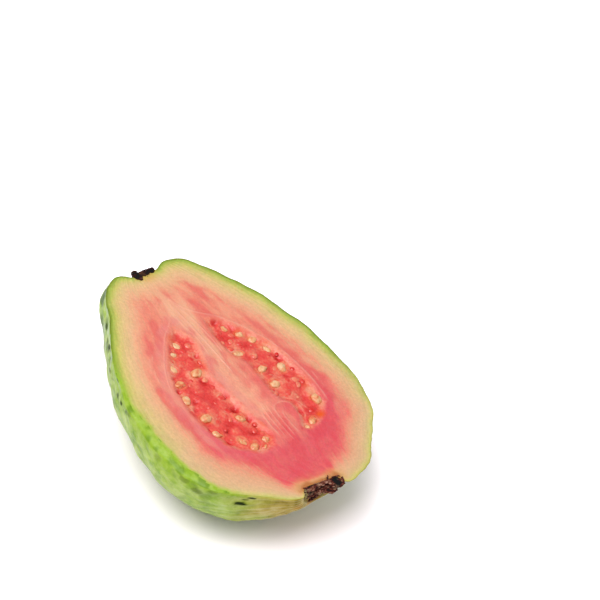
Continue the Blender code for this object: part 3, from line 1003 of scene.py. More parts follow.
@dataclass
class FruitBody:
    """Skin and cut face as one closed mesh, with what its finishes read stored on its corners. Pairs
    are a height and a size, in millimetres."""

    form: FruitForm
    core: SeedCore
    rest: Rest
    stations: int = 250
    around: int = 150
    edge_shares: tuple[float, ...] = (0.9975, 0.99, 0.98)
    outer_step: float = 0.0140
    inner_step: float = 0.0074
    inner_from: float = 0.68
    pebble: tuple[float, float] = (0.30, 2.8)
    small_pebble: tuple[float, float] = (0.10, 1.3)
    wrinkle: tuple[float, int] = (0.28, 44)
    sac: tuple[float, float] = (0.17, 2.7)
    small_sac: tuple[float, float] = (0.06, 1.0)
    pit_depth: float = 0.65
    hug: float = 0.2
    strand_height: float = 0.13
    knife_mark: tuple[float, float] = (0.06, 5.0)
    roll: tuple[float, float] = (1.7, 3.4)
    roll_place: tuple[float, float] = (15.0, 23.0)
    round_over: tuple[float, float] = (0.3, 1.3)
    pink_depth: float = 9.0
    near_cream: float = 3.4
    calyx_blush: float = 7.0
    stem_blush: float = 3.0
    fibre_span: float = 34.0
    fleck_spots: tuple = (
        (38.0, 0.05, 0.55, 1.0), (36.6, 0.22, 0.9, 1.0), (37.2, 0.12, 0.5, 0.6),
        (-13.2, 0.01, 0.8, 0.9), (-24.7, 0.08, 0.9, 0.7), (-19.3, 0.17, 0.8, 0.7),
        (-10.4, 0.155, 0.8, 0.7), (-33.0, 0.20, 1.1, 0.8), (-28.5, 0.15, 0.8, 0.6),
        (24.0, 0.07, 1.4, 0.4), (20.0, 0.03, 0.9, 0.35), (28.0, 0.14, 1.6, 0.45),
        (14.0, 0.09, 1.2, 0.3), (-2.0, 0.06, 1.0, 0.4), (31.5, 0.06, 1.1, 0.35),
    )

    def roll_depth(self, x: Row, y: Row) -> Row:
        """How far the near edge of the cut, bruised by the knife, rolls down."""
        along = bell(x, *self.roll_place) * ramp(39.0, 27.0, x)
        return self.roll[0] * along * ramp(-5.0, -14.0, y)

    def fine_sink(self, flat: Points, turn: Row) -> Row:
        """How far pebbles and wrinkles pull the skin in.

        Args:
            flat: places on the smooth fruit.
            turn: their turn round the core.

        Returns:
            One depth a place, never negative.
        """
        height, size = self.pebble
        sink = height * (0.5 + perlin(flat, size, (3.0, 9.0, 2.0), 0.75))
        height, size = self.small_pebble
        sink += height * perlin(flat, size, (1.0, 4.0, 8.0))
        height, count = self.wrinkle
        waver = 0.12 * perlin(flat, 9.0, (5.0, 5.0, 5.0))
        near_calyx = ramp(24.0, 37.0, flat[:, 0])
        sink += height * near_calyx * (0.5 + 0.5 * np.cos(count * (turn + waver)))
        away = np.hypot(flat[:, 1], flat[:, 2]) / self.form.half_width
        return np.maximum(sink, 0.0) * ramp(0.15, 0.35, away)

    def flecks_and_shade(self, flat: Points, base: Points, from_rim: Row, drift: Row) -> Row:
        """Dark marks of the skin: many small dashes towards the stem, painted shade of the pebbles' hollows,
        and the few real flecks that stand out.

        Args:
            flat: places on the smooth fruit.
            base: their points of the meridian.
            from_rim: their turn from the near edge of the cut.
            drift: a soft noise that makes the spots uneven.

        Returns:
            Their strength at each place.
        """
        x, away = base.T
        # the many small dashes: painted shade of the hollows between pebbles
        shade_dashes = np.maximum(perlin(flat, 1.5, (8.0, 1.0, 6.0), 0.55) - 0.30, 0.0)
        sparse = ramp(-0.1, 0.4, perlin(flat, 8.0, (2.0, 2.0, 9.0))) * ramp(12.0, -8.0, x)
        found = np.clip(6.0 * shade_dashes * sparse, 0.0, 0.9)
        # the few real flecks that stand out
        for along, turn, radius, strength in self.fleck_spots:
            off = np.hypot(x - along, (from_rim - turn) * away) * (1.0 + 0.25 * drift)
            found = np.maximum(found, strength * ramp(radius * 1.25, radius * 0.75, off))
        return found

    def skin_corners(self) -> tuple[Points, dict[str, Row]]:
        """Corners of the skin, row by row from stem to calyx, without its two poles.

        Returns:
            The corners, and what the rind reads at each.
        """
        form, wide = self.form, self.around + 1
        curve, normals = (part[1:-1] for part in form.meridian(self.stations))
        drop = self.roll_depth(curve[:, 0], form.core_shift(curve[:, 0]) - curve[:, 1])
        end = math.pi - np.arcsin(np.clip(drop / (form.depth_share * curve[:, 1]), 0.0, 0.3))
        turns = (np.linspace(0.0, 1.0, wide)[None, :] * end[:, None]).ravel()
        base, normal, drop, end = (np.repeat(part, wide, axis=0) for part in (curve, normals, drop, end))
        x = base[:, 0]
        flat = form.smooth_skin(base, turns)
        sink = self.fine_sink(flat, turns)
        height, width = self.round_over
        from_edge = (end - turns) * base[:, 1] * form.depth_share
        rounded = height * (drop / self.roll[0]) * bell(from_edge, 0.0, width)
        skin = form.skin(base, normal, turns, sink + rounded)
        skin[::wide, 2] = 0.0
        skin[self.around::wide, 2] = -drop[::wide]

        below = np.maximum(-skin[:, 2] - drop, 0.0)
        drift = perlin(flat, 7.0, (1.0, 7.0, 3.0))
        from_calyx = np.linalg.norm(flat - np.array([form.length * 0.47, 0.0, 0.0]), axis=1)
        patches = ramp(-0.15, 0.3, perlin(flat, 3.2, (7.0, 3.0, 3.0), 0.5))
        streaks = ramp(0.0, 0.35, perlin(flat, 1.7, (2.0, 6.0, 3.0), 0.35))
        shoulder = ramp(-31.0, -38.0, x) * ramp(-44.8, -43.0, x)
        scabs = ramp(-0.1, 0.3, perlin(flat, 3.6, (4.0, 4.0, 1.0)))
        return skin, {
            "shade": patches * np.maximum(shoulder, 0.75 * ramp(-12.0, -28.0, x)),
            # pale streaks towards the stem: painted sheen
            "bloom": streaks * ramp(0.0, -20.0, x) * ramp(-42.0, -36.0, x),
            # darker green where pebbles and wrinkles sink: painted shade in the hollows
            "valley": ramp(0.16, 0.42, sink) * ramp(36.0, 28.0, x),
            "straw": ramp(30.0, 14.0, from_calyx + 5.0 * drift),
            "rust": ramp(13.0, 9.5, from_calyx) * ramp(-2.0, -6.0, flat[:, 2]) * scabs,
            "rim_glow": bell(below, 0.0, 2.6) * ramp(41.0, 34.0, x),
            "fleck": self.flecks_and_shade(flat, base, math.pi - turns, drift),
        }

    def ring_shares(self) -> list[float]:
        """Spaces the rings of the cut face, wider near its rim than in the middle.

        Returns:
            How far out each ring lies, from just under 1 at the rim.
        """
        shares = list(self.edge_shares)
        while shares[-1] > 0.03:
            step = self.outer_step if shares[-1] > self.inner_from else self.inner_step
            shares.append(shares[-1] - step)
        return shares

    def face_height(self, x: Row, y: Row) -> tuple[Row, Row]:
        """Height of the cut face with its pulp's lumps, sacs, pits and strands.

        Args:
            x: places along the core.
            y: places across the cut face.

        Returns:
            The height, and the pulp's tone from 0 to 1: random, with painted shade in the pits and painted
            highlight on the sacs' crests and round the seeds.
        """
        core, flat = self.core, at_height(x, y, 1.5)
        warp = np.stack([perlin(flat, 3.2), perlin(flat, 3.2, (9.0, 0.0, 0.0)), np.zeros_like(x)], axis=1)
        height, size = self.sac
        near, _ = cells(flat + 1.1 * warp, size)
        bulge = np.clip(1.0 - (near / 0.62) ** 2, -0.5, 1.0)
        small_height, small_size = self.small_sac
        small_near, _ = cells(flat + 0.5 * warp + 20.0, small_size)
        pits = core.spots(x, y, core.pits)
        hug = bell(core.seed_distance(x, y), 1.15, 0.3)
        pulp = height * bulge + small_height * (0.5 - small_near) - self.pit_depth * pits + self.hug * hug
        deep, long = self.knife_mark
        knife = deep * perlin(flat, long, (4.0, 1.0, 2.0), 0.5)
        total = core.rough_height(x, y) + core.chamber_share(x, y) * pulp
        total += self.strand_height * core.strand_share(x, y) + knife
        # random tone, with painted shade in the pits and painted highlight on sac crests and on the pulp
        # that rises round the seeds
        tone = 0.56 + 0.10 * bulge + 0.38 * perlin(flat, 3.4, (6.0, 2.0, 5.0)) - 0.50 * pits + 0.08 * hug
        tone += 0.16 * ramp(3.0, 0.4, core.chamber_depth(x, y))
        return total, np.clip(tone, 0.0, 1.0)

    def face_facts(self, x: Row, y: Row, under: Row) -> dict[str, Row]:
        """What the flesh reads at each place of the cut face.

        Args:
            x: places along the core.
            y: places across the cut face.
            under: how deep each place lies inside the cut face's outline.

        Returns:
            Named numbers, one a place, and the fibres' own places under "grain".
        """
        core, form, flat = self.core, self.form, at_height(x, y, 1.5)
        drift = perlin(flat, 2.2, (1.0, 1.0, 4.0))
        chamber = core.chamber_depth(x, y) + 0.5 * drift

        # The cream rim is wide on the near side; pink comes close to the edge at both ends.
        near_side = ramp(2.0, -8.0, y) * bell(x, 15.0, 14.0)
        calyx_end = ramp(28.0, 38.0, x) * ramp(-14.0, -1.0, y) * ramp(14.5, 7.5, y)
        stem_end = ramp(-34.0, -41.0, x) * ramp(12.0, 5.0, np.abs(y + 1.0))
        pink = self.pink_depth + self.near_cream * near_side
        pink -= self.calyx_blush * calyx_end + self.stem_blush * stem_end
        rolled = self.roll_depth(x, y) / self.roll[0]
        green = ramp(1.2, -0.4, under - 2.9 * rolled + 0.5 * drift)
        under_rind = under - 2.7 * rolled * ramp(0.5, 7.0, under) * ramp(16.0, 10.0, under)
        ripeness = 0.5 * under_rind / pink

        # Fibre bundles follow the outline, and show only in the ripe flesh outside the chambers.
        across = (y - form.core_shift(x)) / np.maximum(form.half_width_at(x), 4.0) * self.fibre_span
        bundles = perlin(at_height(x * 0.22, across, 3.0), 3.4)
        bundles += 0.6 * perlin(at_height(x * 0.5, across, 8.0), 1.7)
        fleshy = ramp(0.2, -1.4, chamber)
        outside = ramp(0.34, 0.52, ripeness) * fleshy
        pale_tip = ramp(7.5, 2.0, np.hypot(0.9 * (x + 26.5), y)) * fleshy
        blanched = outside * ramp(0.05, 0.5, -bundles) * ramp(34.0, 10.0, x)

        # The placenta runs along the core and narrows to a tip by the stem.
        column = ramp(1.25, 0.45, np.abs(y - 1.4 - 0.05 * x) / (4.6 + 0.05 * x))
        column *= ramp(30.0, 14.0, x) * ramp(-34.0, -24.0, x)
        tip = ramp(8.0, 2.0, np.hypot(0.6 * (x + 30.0), y + 0.6))

        # The cut has dried brown round the calyx's cup and round the stem's pit.
        beside = np.maximum(np.abs(y - form.calyx_shift) - 6.4, 0.0)
        to_calyx = np.hypot(form.length * 0.4525 - x, beside)
        to_stem = np.hypot(x + form.length * 0.48, 0.8 * (y - form.stem_shift))
        tan = 0.55 * ramp(4.2, 1.6, to_stem + drift) + 0.5 * ramp(4.2, 1.2, to_calyx + drift)

        wall = ramp(-5.0, -2.6, chamber) * ramp(0.0, -1.2, chamber) * ramp(4.0, -4.0, y)
        seed_rims = bell(core.seed_distance(x, y), 1.1, 0.2) * ramp(-0.3, 0.5, drift)
        return {
            "ripeness": ripeness,
            "flush": outside * ramp(0.0, 0.5, bundles),
            "blanch": blanched + 1.7 * pale_tip,
            "green_rim": ramp(0.0, 0.25, rolled) * green,
            "toward_calyx": ramp(-13.0, 27.0, x + 3.0 * np.sin(0.12 * y)),
            "placenta": np.maximum(column, 0.6 * tip),
            "pulp": ramp(-0.9, 1.3, chamber),
            "stain": core.spots(x, y, core.stains) * (0.75 + 0.5 * drift),
            "halo": seed_rims * core.chamber_share(x, y),
            "strand": core.strand_share(x, y) * (0.8 + 0.4 * drift),
            "tan": np.clip(tan, 0.0, 1.0),
            "scorch": ramp(2.2, 0.2, to_calyx + 1.2 * drift),
            "mauve": wall * ramp(30.0, 16.0, x) * (0.7 + 0.6 * drift),
            "rind_spots": ramp(0.05, 0.4, perlin(flat, 2.4, (3.0, 9.0, 1.0))),
            "grain": at_height(x * 0.15, across, 11.0),
        }

    def make(self, rind: Material, flesh: Material) -> Piece:
        """Builds the body.

        Args:
            rind: the skin's finish.
            flesh: the cut face's finish.

        Returns:
            The closed mesh, in place.
        """
        skin, skin_facts = self.skin_corners()
        curve, normals = self.form.meridian(self.stations)
        outside = np.vstack([skin, self.form.skin(curve[[0, -1]], normals[[0, -1]], np.zeros(2))])
        grid = np.arange(len(skin)).reshape(-1, self.around + 1)
        stem_pole, calyx_pole = len(skin), len(skin) + 1
        rim_ids = np.array([stem_pole, *grid[:, 0], calyx_pole, *grid[::-1, -1]])
        rim, count = outside[rim_ids], len(rim_ids)
        middle = np.array(self.core.middle)
        shares = self.ring_shares()
        x, y = np.vstack([middle + (rim[:, :2] - middle) * share for share in shares] + [middle]).T
        height, tone = self.face_height(x, y)
        edge = ramp(1.0, 0.985, np.repeat([*shares, 0.0], [count] * len(shares) + [1]))
        under = np.maximum(depth_inside(x, y, rim[:, :2]), 0.0)
        to_flat = 1.0 - np.clip(under / self.roll[1], 0.0, 1.0)
        rolled = self.roll_depth(x, y) * (1.0 - np.sqrt(1.0 - to_flat**2))
        corners = np.vstack([outside, np.column_stack([x, y, height * edge - rolled])])
        face_facts = {**self.face_facts(x, y, under), "pulp_tone": tone}

        faces = quads(grid)
        for j in range(self.around):
            faces.append((stem_pole, j, j + 1))
            faces.append((calyx_pole, grid[-1, j + 1], grid[-1, j]))
        slots = [0] * len(faces)
        centre = len(corners) - 1
        rings = np.vstack([rim_ids, np.arange(len(outside), centre).reshape(-1, count)])
        rings = np.column_stack([rings, rings[:, 0]])
        faces += quads(rings)
        faces += [(first, centre, second) for first, second in zip(rings[-1], rings[-1][1:])]
        green = np.zeros(len(corners))
        green[len(outside):] = face_facts["green_rim"]
        green[rim_ids] = face_facts["green_rim"][:count]
        slots += [0 if green[list(face)].min() > 0.75 else 1 for face in faces[len(slots):]]

        body = mesh_object("fruit_body", self.rest.place(corners), faces, (rind, flesh), slots)
        face_outward(body)
        spots = face_facts.pop("rind_spots")
        for key, values in skin_facts.items():
            whole = np.full(len(corners), float(key == "rim_glow"))
            whole[:len(skin)] = values
            # on the cut face's green edge the same layer takes random dark spots instead
            if key == "valley":
                whole[len(outside):] = spots
            give_attribute(body, key, whole)
        for key, values in face_facts.items():
            whole = np.zeros((len(corners), *values.shape[1:]))
            whole[len(outside):] = values
            whole[rim_ids] = values[:count]
            give_attribute(body, key, whole)
        LOG.info("fruit_body: %d corners, %d faces", len(corners), len(faces))
        return body


@dataclass
class Blobs:
    """Rounded lumps of one kind, planted by a Geometry Nodes tree on points that carry each lump's
    turn, size and tone. Sizes are in millimetres."""

    name: str
    size: tuple[float, float, float]
    detail: int
    unevenness: float = 0.3
    lump_size: float = 1.7
    crest_span: tuple[float, float] = (-0.15, 1.0)

    def tree(self, coat: Material) -> Tree:
        """Builds the tree that turns points into lumps.

        Args:
            coat: the lumps' finish.

        Returns:
            A geometry tree with the lump's sizes as named inputs.
        """
        made = bpy.data.node_groups.new(f"{self.name}_on_points", "GeometryNodeTree")
        made.interface.new_socket("Geometry", in_out="INPUT", socket_type="NodeSocketGeometry")
        for name in ("Length", "Width", "Thickness", "Unevenness"):
            made.interface.new_socket(name, in_out="INPUT", socket_type="NodeSocketFloat")
        made.interface.new_socket("Geometry", in_out="OUTPUT", socket_type="NodeSocketGeometry")
        given = add_node(made, "NodeGroupInput").node.outputs
        sizes = add_node(
            made, "ShaderNodeCombineXYZ",
            links={"X": given["Length"], "Y": given["Width"], "Z": given["Thickness"]},
        )
        ball = add_node(made, "GeometryNodeMeshIcoSphere", {"Radius": 0.5, "Subdivisions": self.detail})
        place = add_node(made, "GeometryNodeInputPosition")
        height = add_node(made, "ShaderNodeSeparateXYZ", links={0: place}, output="Z")
        low, high = self.crest_span
        share = add_node(
            made, "ShaderNodeMapRange",
            {"interpolation_type": "SMOOTHSTEP", "From Min": 0.5 * low, "From Max": 0.5 * high},
            {"Value": height},
        )
        crested = add_node(
            made, "GeometryNodeStoreNamedAttribute", {"data_type": "FLOAT", "Name": "crest"},
            {"Geometry": ball, "Value": share},
        )
        turn, size, tone = [
            add_node(made, "GeometryNodeInputNamedAttribute", {"data_type": kind, "Name": name})
            for name, kind in (("turn", "FLOAT_VECTOR"), ("size", "FLOAT"), ("tone", "FLOAT"))
        ]
        scale = add_node(made, "ShaderNodeVectorMath", {"operation": "SCALE"}, {0: sizes, "Scale": size})
        planted = add_node(
            made, "GeometryNodeInstanceOnPoints",
            links={"Points": given["Geometry"], "Instance": crested, "Rotation": turn, "Scale": scale},
        )
        toned = add_node(
            made, "GeometryNodeStoreNamedAttribute",
            {"data_type": "FLOAT", "domain": "INSTANCE", "Name": "tone"},
            {"Geometry": planted, "Value": tone},
        )
        real = add_node(made, "GeometryNodeRealizeInstances", links={"Geometry": toned})
        lump = add_node(
            made, "ShaderNodeTexNoise", {"Scale": 1.0 / (self.lump_size * MM), "Detail": 1.5},
            output="Color",
        )
        centred = add_node(
            made, "ShaderNodeVectorMath", {"operation": "SUBTRACT", 1: (0.5, 0.5, 0.5)}, {0: lump}
        )
        pushed = add_node(
            made, "ShaderNodeVectorMath", {"operation": "SCALE"},
            {0: centred, "Scale": given["Unevenness"]},
        )
        uneven = add_node(made, "GeometryNodeSetPosition", links={"Geometry": real, "Offset": pushed})
        smooth = add_node(
            made, "GeometryNodeSetShadeSmooth", {"Shade Smooth": True}, {"Geometry": uneven}
        )
        dressed = add_node(made, "GeometryNodeSetMaterial", {"Material": coat}, {"Geometry": smooth})
        add_node(made, "NodeGroupOutput", links={"Geometry": dressed})
        return made

    def plant(self, rest: Rest, places: Sequence[Sequence[float]], coat: Material) -> Piece:
        """Plants the lumps.

        Args:
            rest: how the fruit lies.
            places: (x, y, z, turn in degrees, size share, tone) of each lump.
            coat: their finish.

        Returns:
            All lumps as one plain mesh.
        """
        table = np.array(places)
        lean = rest.matrix.to_3x3().normalized()
        spins = [Matrix.Rotation(math.radians(turn), 3, "Z") for turn in table[:, 3]]
        points = mesh_object(self.name, rest.place(table[:, :3]), [], ())
        give_attribute(points, "turn", np.array([list((lean @ spin).to_euler()) for spin in spins]))
        give_attribute(points, "size", table[:, 4])
        give_attribute(points, "tone", table[:, 5])
        names = ("Length", "Width", "Thickness", "Unevenness")
        values = dict(zip(names, (*self.size, self.unevenness)))
        tree = self.tree(coat)
        modifier = points.modifiers.new("grow", "NODES")
        modifier.node_group = tree
        for item in tree.interface.items_tree:
            if item.in_out == "INPUT" and item.name in values:
                modifier[item.identifier] = values[item.name] * MM
        mesh = bake_modifiers(points)
        LOG.info("%s: %d lumps, %d faces", self.name, len(places), len(mesh.polygons))
        return points


@dataclass
class PulpFilling:
    """Where seeds and juice sacs sit in the chambers, in millimetres."""

    core: SeedCore
    draw_number: int = 23
    seed_sunk: float = 0.62
    seed_tone: tuple[float, float] = (0.25, 0.75)
    sac_count: int = 60
    tries: int = 5000
    reach_x: tuple[float, float] = (-22.0, 25.0)
    reach_y: tuple[float, float] = (-19.0, 23.0)
    sac_gap: float = 1.7
    wall_gap: float = 0.9
    seed_gap: float = 1.45
    sac_size: tuple[float, float] = (0.6, 1.3)
    sac_sunk: float = 0.30
    sac_tone: tuple[float, float] = (0.5, 0.22)

    def seed_places(self) -> list[tuple[float, ...]]:
        """Sets each seed on the pulp.

        Returns:
            Each seed's x, y, z, turn in degrees, size share and tone.
        """
        draw = random.Random(self.draw_number)
        x, y, turn_deg, size = np.array(self.core.seeds).T
        z = self.core.rough_height(x, y) + self.core.seed_rise - self.seed_sunk
        return [(*place, draw.uniform(*self.seed_tone)) for place in zip(x, y, z, turn_deg, size)]

    def sac_places(self) -> list[tuple[float, ...]]:
        """Scatters the juice sacs, clear of walls, seeds, pits and each other.

        Returns:
            Each sac's x, y, z, turn in degrees, size share and tone.
        """
        draw = random.Random(self.draw_number + 1)
        tries = [(draw.uniform(*self.reach_x), draw.uniform(*self.reach_y)) for _ in range(self.tries)]
        x, y = np.array(tries).T
        fits = self.core.chamber_depth(x, y) > self.wall_gap
        fits &= self.core.seed_distance(x, y) > self.seed_gap
        fits &= self.core.spots(x, y, self.core.pits) < 0.4
        floors = self.core.rough_height(x, y)
        found: list[tuple[float, ...]] = []
        for k in np.flatnonzero(fits):
            if all(math.hypot(x[k] - other[0], y[k] - other[1]) > self.sac_gap for other in found):
                size = draw.uniform(*self.sac_size)
                tone = min(1.0, max(0.0, draw.gauss(*self.sac_tone)))
                z = floors[k] - self.sac_sunk * size
                found.append((x[k], y[k], z, draw.uniform(0.0, 180.0), size, tone))
            if len(found) == self.sac_count:
                break
        return found


@dataclass
class DryCrown:
    """Half of a dried crown, cut through with the fruit: a lobed ring with a hollow middle, with
    splinters stuck to it, all crumbled and cracked. It is worked out in its own space, in
    millimetres: x outward along its axis, y across the cut face and z up from it."""

    form: FruitForm
    rest: Rest
    name: str = "crown"
    section: Outline = ()
    middle_height: float = 1.0
    lobes: int = 5
    outward: float = 1.0
    seat_step: float = 0.3
    splinters: tuple = ()
    out: float = 0.06
    up: float = 0.22
    grain: float = 1.6
    turn_start: float = 0.9
    steps: int = 60
    section_steps: int = 24
    root: float = 0.9
    voxel: float = 0.13
    shrink: float = 0.12
    highest: float = 0.25
    thin: float = 0.0
    depth_share: float = 0.80
    hollow: tuple[float, float, float] = (0.0, 0.0, 0.1)
    hollow_shade: float = 0.62
    crumbs: tuple = ((0.20, 1.7), (0.18, 0.75), (0.09, 0.35))

    def seat(self) -> Points:
        """The middle of the crown's foot, on the fruit lying flat."""
        end, shift = (-1, self.form.calyx_shift) if self.outward > 0 else (0, self.form.stem_shift)
        return np.array([self.form.corners()[end, 0] + self.outward * self.seat_step, shift, 0.0])

    def turned(self) -> tuple[Points, list[Sequence[int]]]:
        """Turns the section through half a turn, with ragged lobes.

        Returns:
            The plain crown's corners, and its faces.
        """
        profile = smooth_line([(0.0, 0.0), *self.section, (0.0, self.middle_height)], self.section_steps)
        turns = np.linspace(0.0, math.pi, self.steps + 1)
        away, height = np.tile(profile[1:-1], (len(turns), 1)).T
        wide = len(profile) - 2
        turn = np.repeat(turns, wide)
        across, back = away * np.cos(turn), away * np.sin(turn)
        bend = perlin(np.stack([across, back, height + self.seat()[0]], axis=1), self.grain)
        ragged = np.cos(self.lobes * turn + self.turn_start) + bend
        edge = ramp(0.0, self.section[-2][1], height)
        reach = away * (1.0 + edge * self.out * ragged)
        lift = height * (1.0 + edge * self.up * ragged)
        lift = lift * (1.0 - self.thin * ramp(1.0, -5.0, across)) - self.root * (1.0 - edge)
        down = -reach * np.sin(turn)
        down[:wide] = down[-wide:] = 0.0
        ends = np.array([(-self.root, 0.0, 0.0), (self.middle_height, 0.0, 0.0)])
        points = np.vstack([np.stack([lift, reach * np.cos(turn), down], axis=1), ends])
        bottom, top = len(points) - 2, len(points) - 1
        rows = np.arange(bottom).reshape(-1, wide)
        faces = quads(rows.T)
        for row, following in zip(rows, rows[1:]):
            faces.append((bottom, row[0], following[0]))
            faces.append((top, following[-1], row[-1]))
        faces.append((bottom, *rows[-1], top, *rows[0, ::-1]))
        return points, faces

    def add_splinters(self, piece: Piece) -> None:
        """Adds the splinters: stretched lumps from one point to another.

        Args:
            piece: the crown, in its own space.
        """
        build = bmesh.new()
        build.from_mesh(piece.data)
        for start, end, thick in self.splinters:
            first, last = Vector(start), Vector(end)
            ball = bmesh.ops.create_icosphere(build, subdivisions=3, radius=0.5)["verts"]
            turn = (last - first).normalized().to_track_quat("X", "Z").to_matrix().to_4x4()
            stretch = Matrix.Diagonal(((last - first).length, thick, thick * 0.8, 1.0))
            place = Matrix.Translation((first + last) / 2) @ turn @ stretch
            bmesh.ops.transform(build, matrix=place, verts=ball)
        build.to_mesh(piece.data)
        build.free()

    def crumble(self, points: Points, normals: Points) -> tuple[Points, Row]:
        """Cracks and crumbs.

        Args:
            points: corners of the smooth crown.
            normals: their outward normals.

        Returns:
            The broken corners, and how high each stands, from 0 in a crack to 1 on a crest, less a painted
            shade over the hollow; the colour follows it, so cracks get painted shade.
        """
        push = np.zeros(len(points))
        for number, (height, size) in enumerate(self.crumbs):
            near, second = cells(points * np.array([1.0, 0.5, 1.0]) + 5.0 * number, size)
            push += height * (0.75 - near) - 0.5 * height * (second - near < 0.18)
        span = sum(height for height, _ in self.crumbs)
        # painted shade: a near-black patch over the hollow
        x, y, radius = self.hollow
        dark = bell(np.hypot(points[:, 0] - x, points[:, 1] - y), 0.0, radius)
        level = np.clip(0.55 + 0.75 * push / span - self.hollow_shade * dark, 0.0, 1.0)
        return points + normals * (push - self.shrink)[:, None], level

    def make(self, scrap: Material) -> Piece:
        """Builds the crown.

        Args:
            scrap: its finish.

        Returns:
            The closed mesh, in place.
        """
        piece = mesh_object(self.name, *self.turned(), (scrap,))
        face_outward(piece)
        self.add_splinters(piece)
        melt = piece.modifiers.new("melt_together", "REMESH")
        melt.mode = "VOXEL"
        melt.voxel_size = self.voxel
        mesh = bake_modifiers(piece)
        smooth = np.array([vert.co for vert in mesh.vertices])
        normals = np.array([vert.normal for vert in mesh.vertices])
        broken, level = self.crumble(smooth, normals)
        rubbed = perlin(smooth, 1.8, (3.0, 3.0, 3.0)) + 0.25 * (smooth[:, 1] < 0)
        flat = broken * np.array([self.outward, 1.0, self.depth_share]) + self.seat()
        flat[:, 2] = np.minimum(flat[:, 2], self.highest)
        mesh.vertices.foreach_set("co", self.rest.place(flat).ravel())
        mesh.shade_smooth()
        if not mesh.materials:
            mesh.materials.append(scrap)
        face_outward(piece)
        # the colour follows this level: painted shade in cracks and over the hollow
        give_attribute(piece, "crest", level)
        give_attribute(piece, "worn", 0.7 * ramp(0.25, 0.55, rubbed) * level)
        LOG.info("%s: %d faces", self.name, len(mesh.polygons))
        return piece


@dataclass
class CalyxCrown(DryCrown):
    """The calyx: a wide ring with a hole at its far end, painted near black as shade, and long splinters
    that run down the fruit on its near side."""

    name: str = "calyx_crown"
    section: Outline = (
        (4.4, 0.0), (5.2, 0.6), (5.9, 1.3), (6.3, 2.0), (6.6, 2.7), (6.0, 3.1), (4.8, 2.5), (3.0, 1.7),
    )
    middle_height: float = 1.4
    splinters: tuple = (
        ((1.9, -0.2, -2.0), (2.3, -5.0, -13.0), 1.6), ((1.3, -1.6, -1.0), (1.9, -5.8, -9.4), 1.3),
        ((0.3, 5.0, -1.0), (1.6, 6.4, -1.0), 2.4), ((0.2, -7.2, 0.1), (1.6, -6.4, -1.2), 0.8),
        ((1.4, -6.2, -3.0), (2.4, -7.8, -9.0), 0.9),
        ((0.6, 0.6, 0.0), (1.6, -6.2, -0.2), 1.2), ((-0.2, -6.8, 0.1), (0.9, -3.6, 0.1), 0.9),
        ((0.0, -3.8, 0.3), (1.3, -1.4, 0.3), 0.9), ((-1.7, 3.7, 0.3), (0.6, 2.2, 0.1), 0.9),
        ((-0.3, 3.6, 0.0), (0.0, 7.2, 0.0), 1.1), ((0.0, 7.4, -0.2), (2.2, 7.0, -0.3), 1.3),
        ((2.4, 7.4, -0.6), (3.0, 3.4, -0.8), 1.6), ((0.8, 2.6, 0.0), (2.8, 3.0, -0.4), 1.3),
    )
    thin: float = 0.35
    depth_share: float = 0.3
    # where the hole's painted shade lies, and how wide it is
    hollow: tuple[float, float, float] = (1.3, 5.0, 1.15)


@dataclass
class StemScab(DryCrown):
    """The scab in the stem's pit: a small low ring with a few thick crumbs."""

    name: str = "scar_scab"
    section: Outline = ((3.0, 0.0), (3.6, 0.4), (3.8, 1.0), (3.5, 1.6), (2.3, 1.4))
    middle_height: float = 0.8
    lobes: int = 4
    outward: float = -1.0
    seat_step: float = -0.4
    splinters: tuple = (
        ((-1.0, -3.2, 0.2), (2.7, -3.0, 0.1), 2.7), ((-0.2, 1.9, 0.2), (1.5, 2.6, 0.1), 2.4),
        ((0.3, -3.0, 0.1), (1.0, 2.4, 0.1), 2.2), ((-1.6, -2.4, 0.1), (0.0, -2.4, 0.1), 1.4),
    )


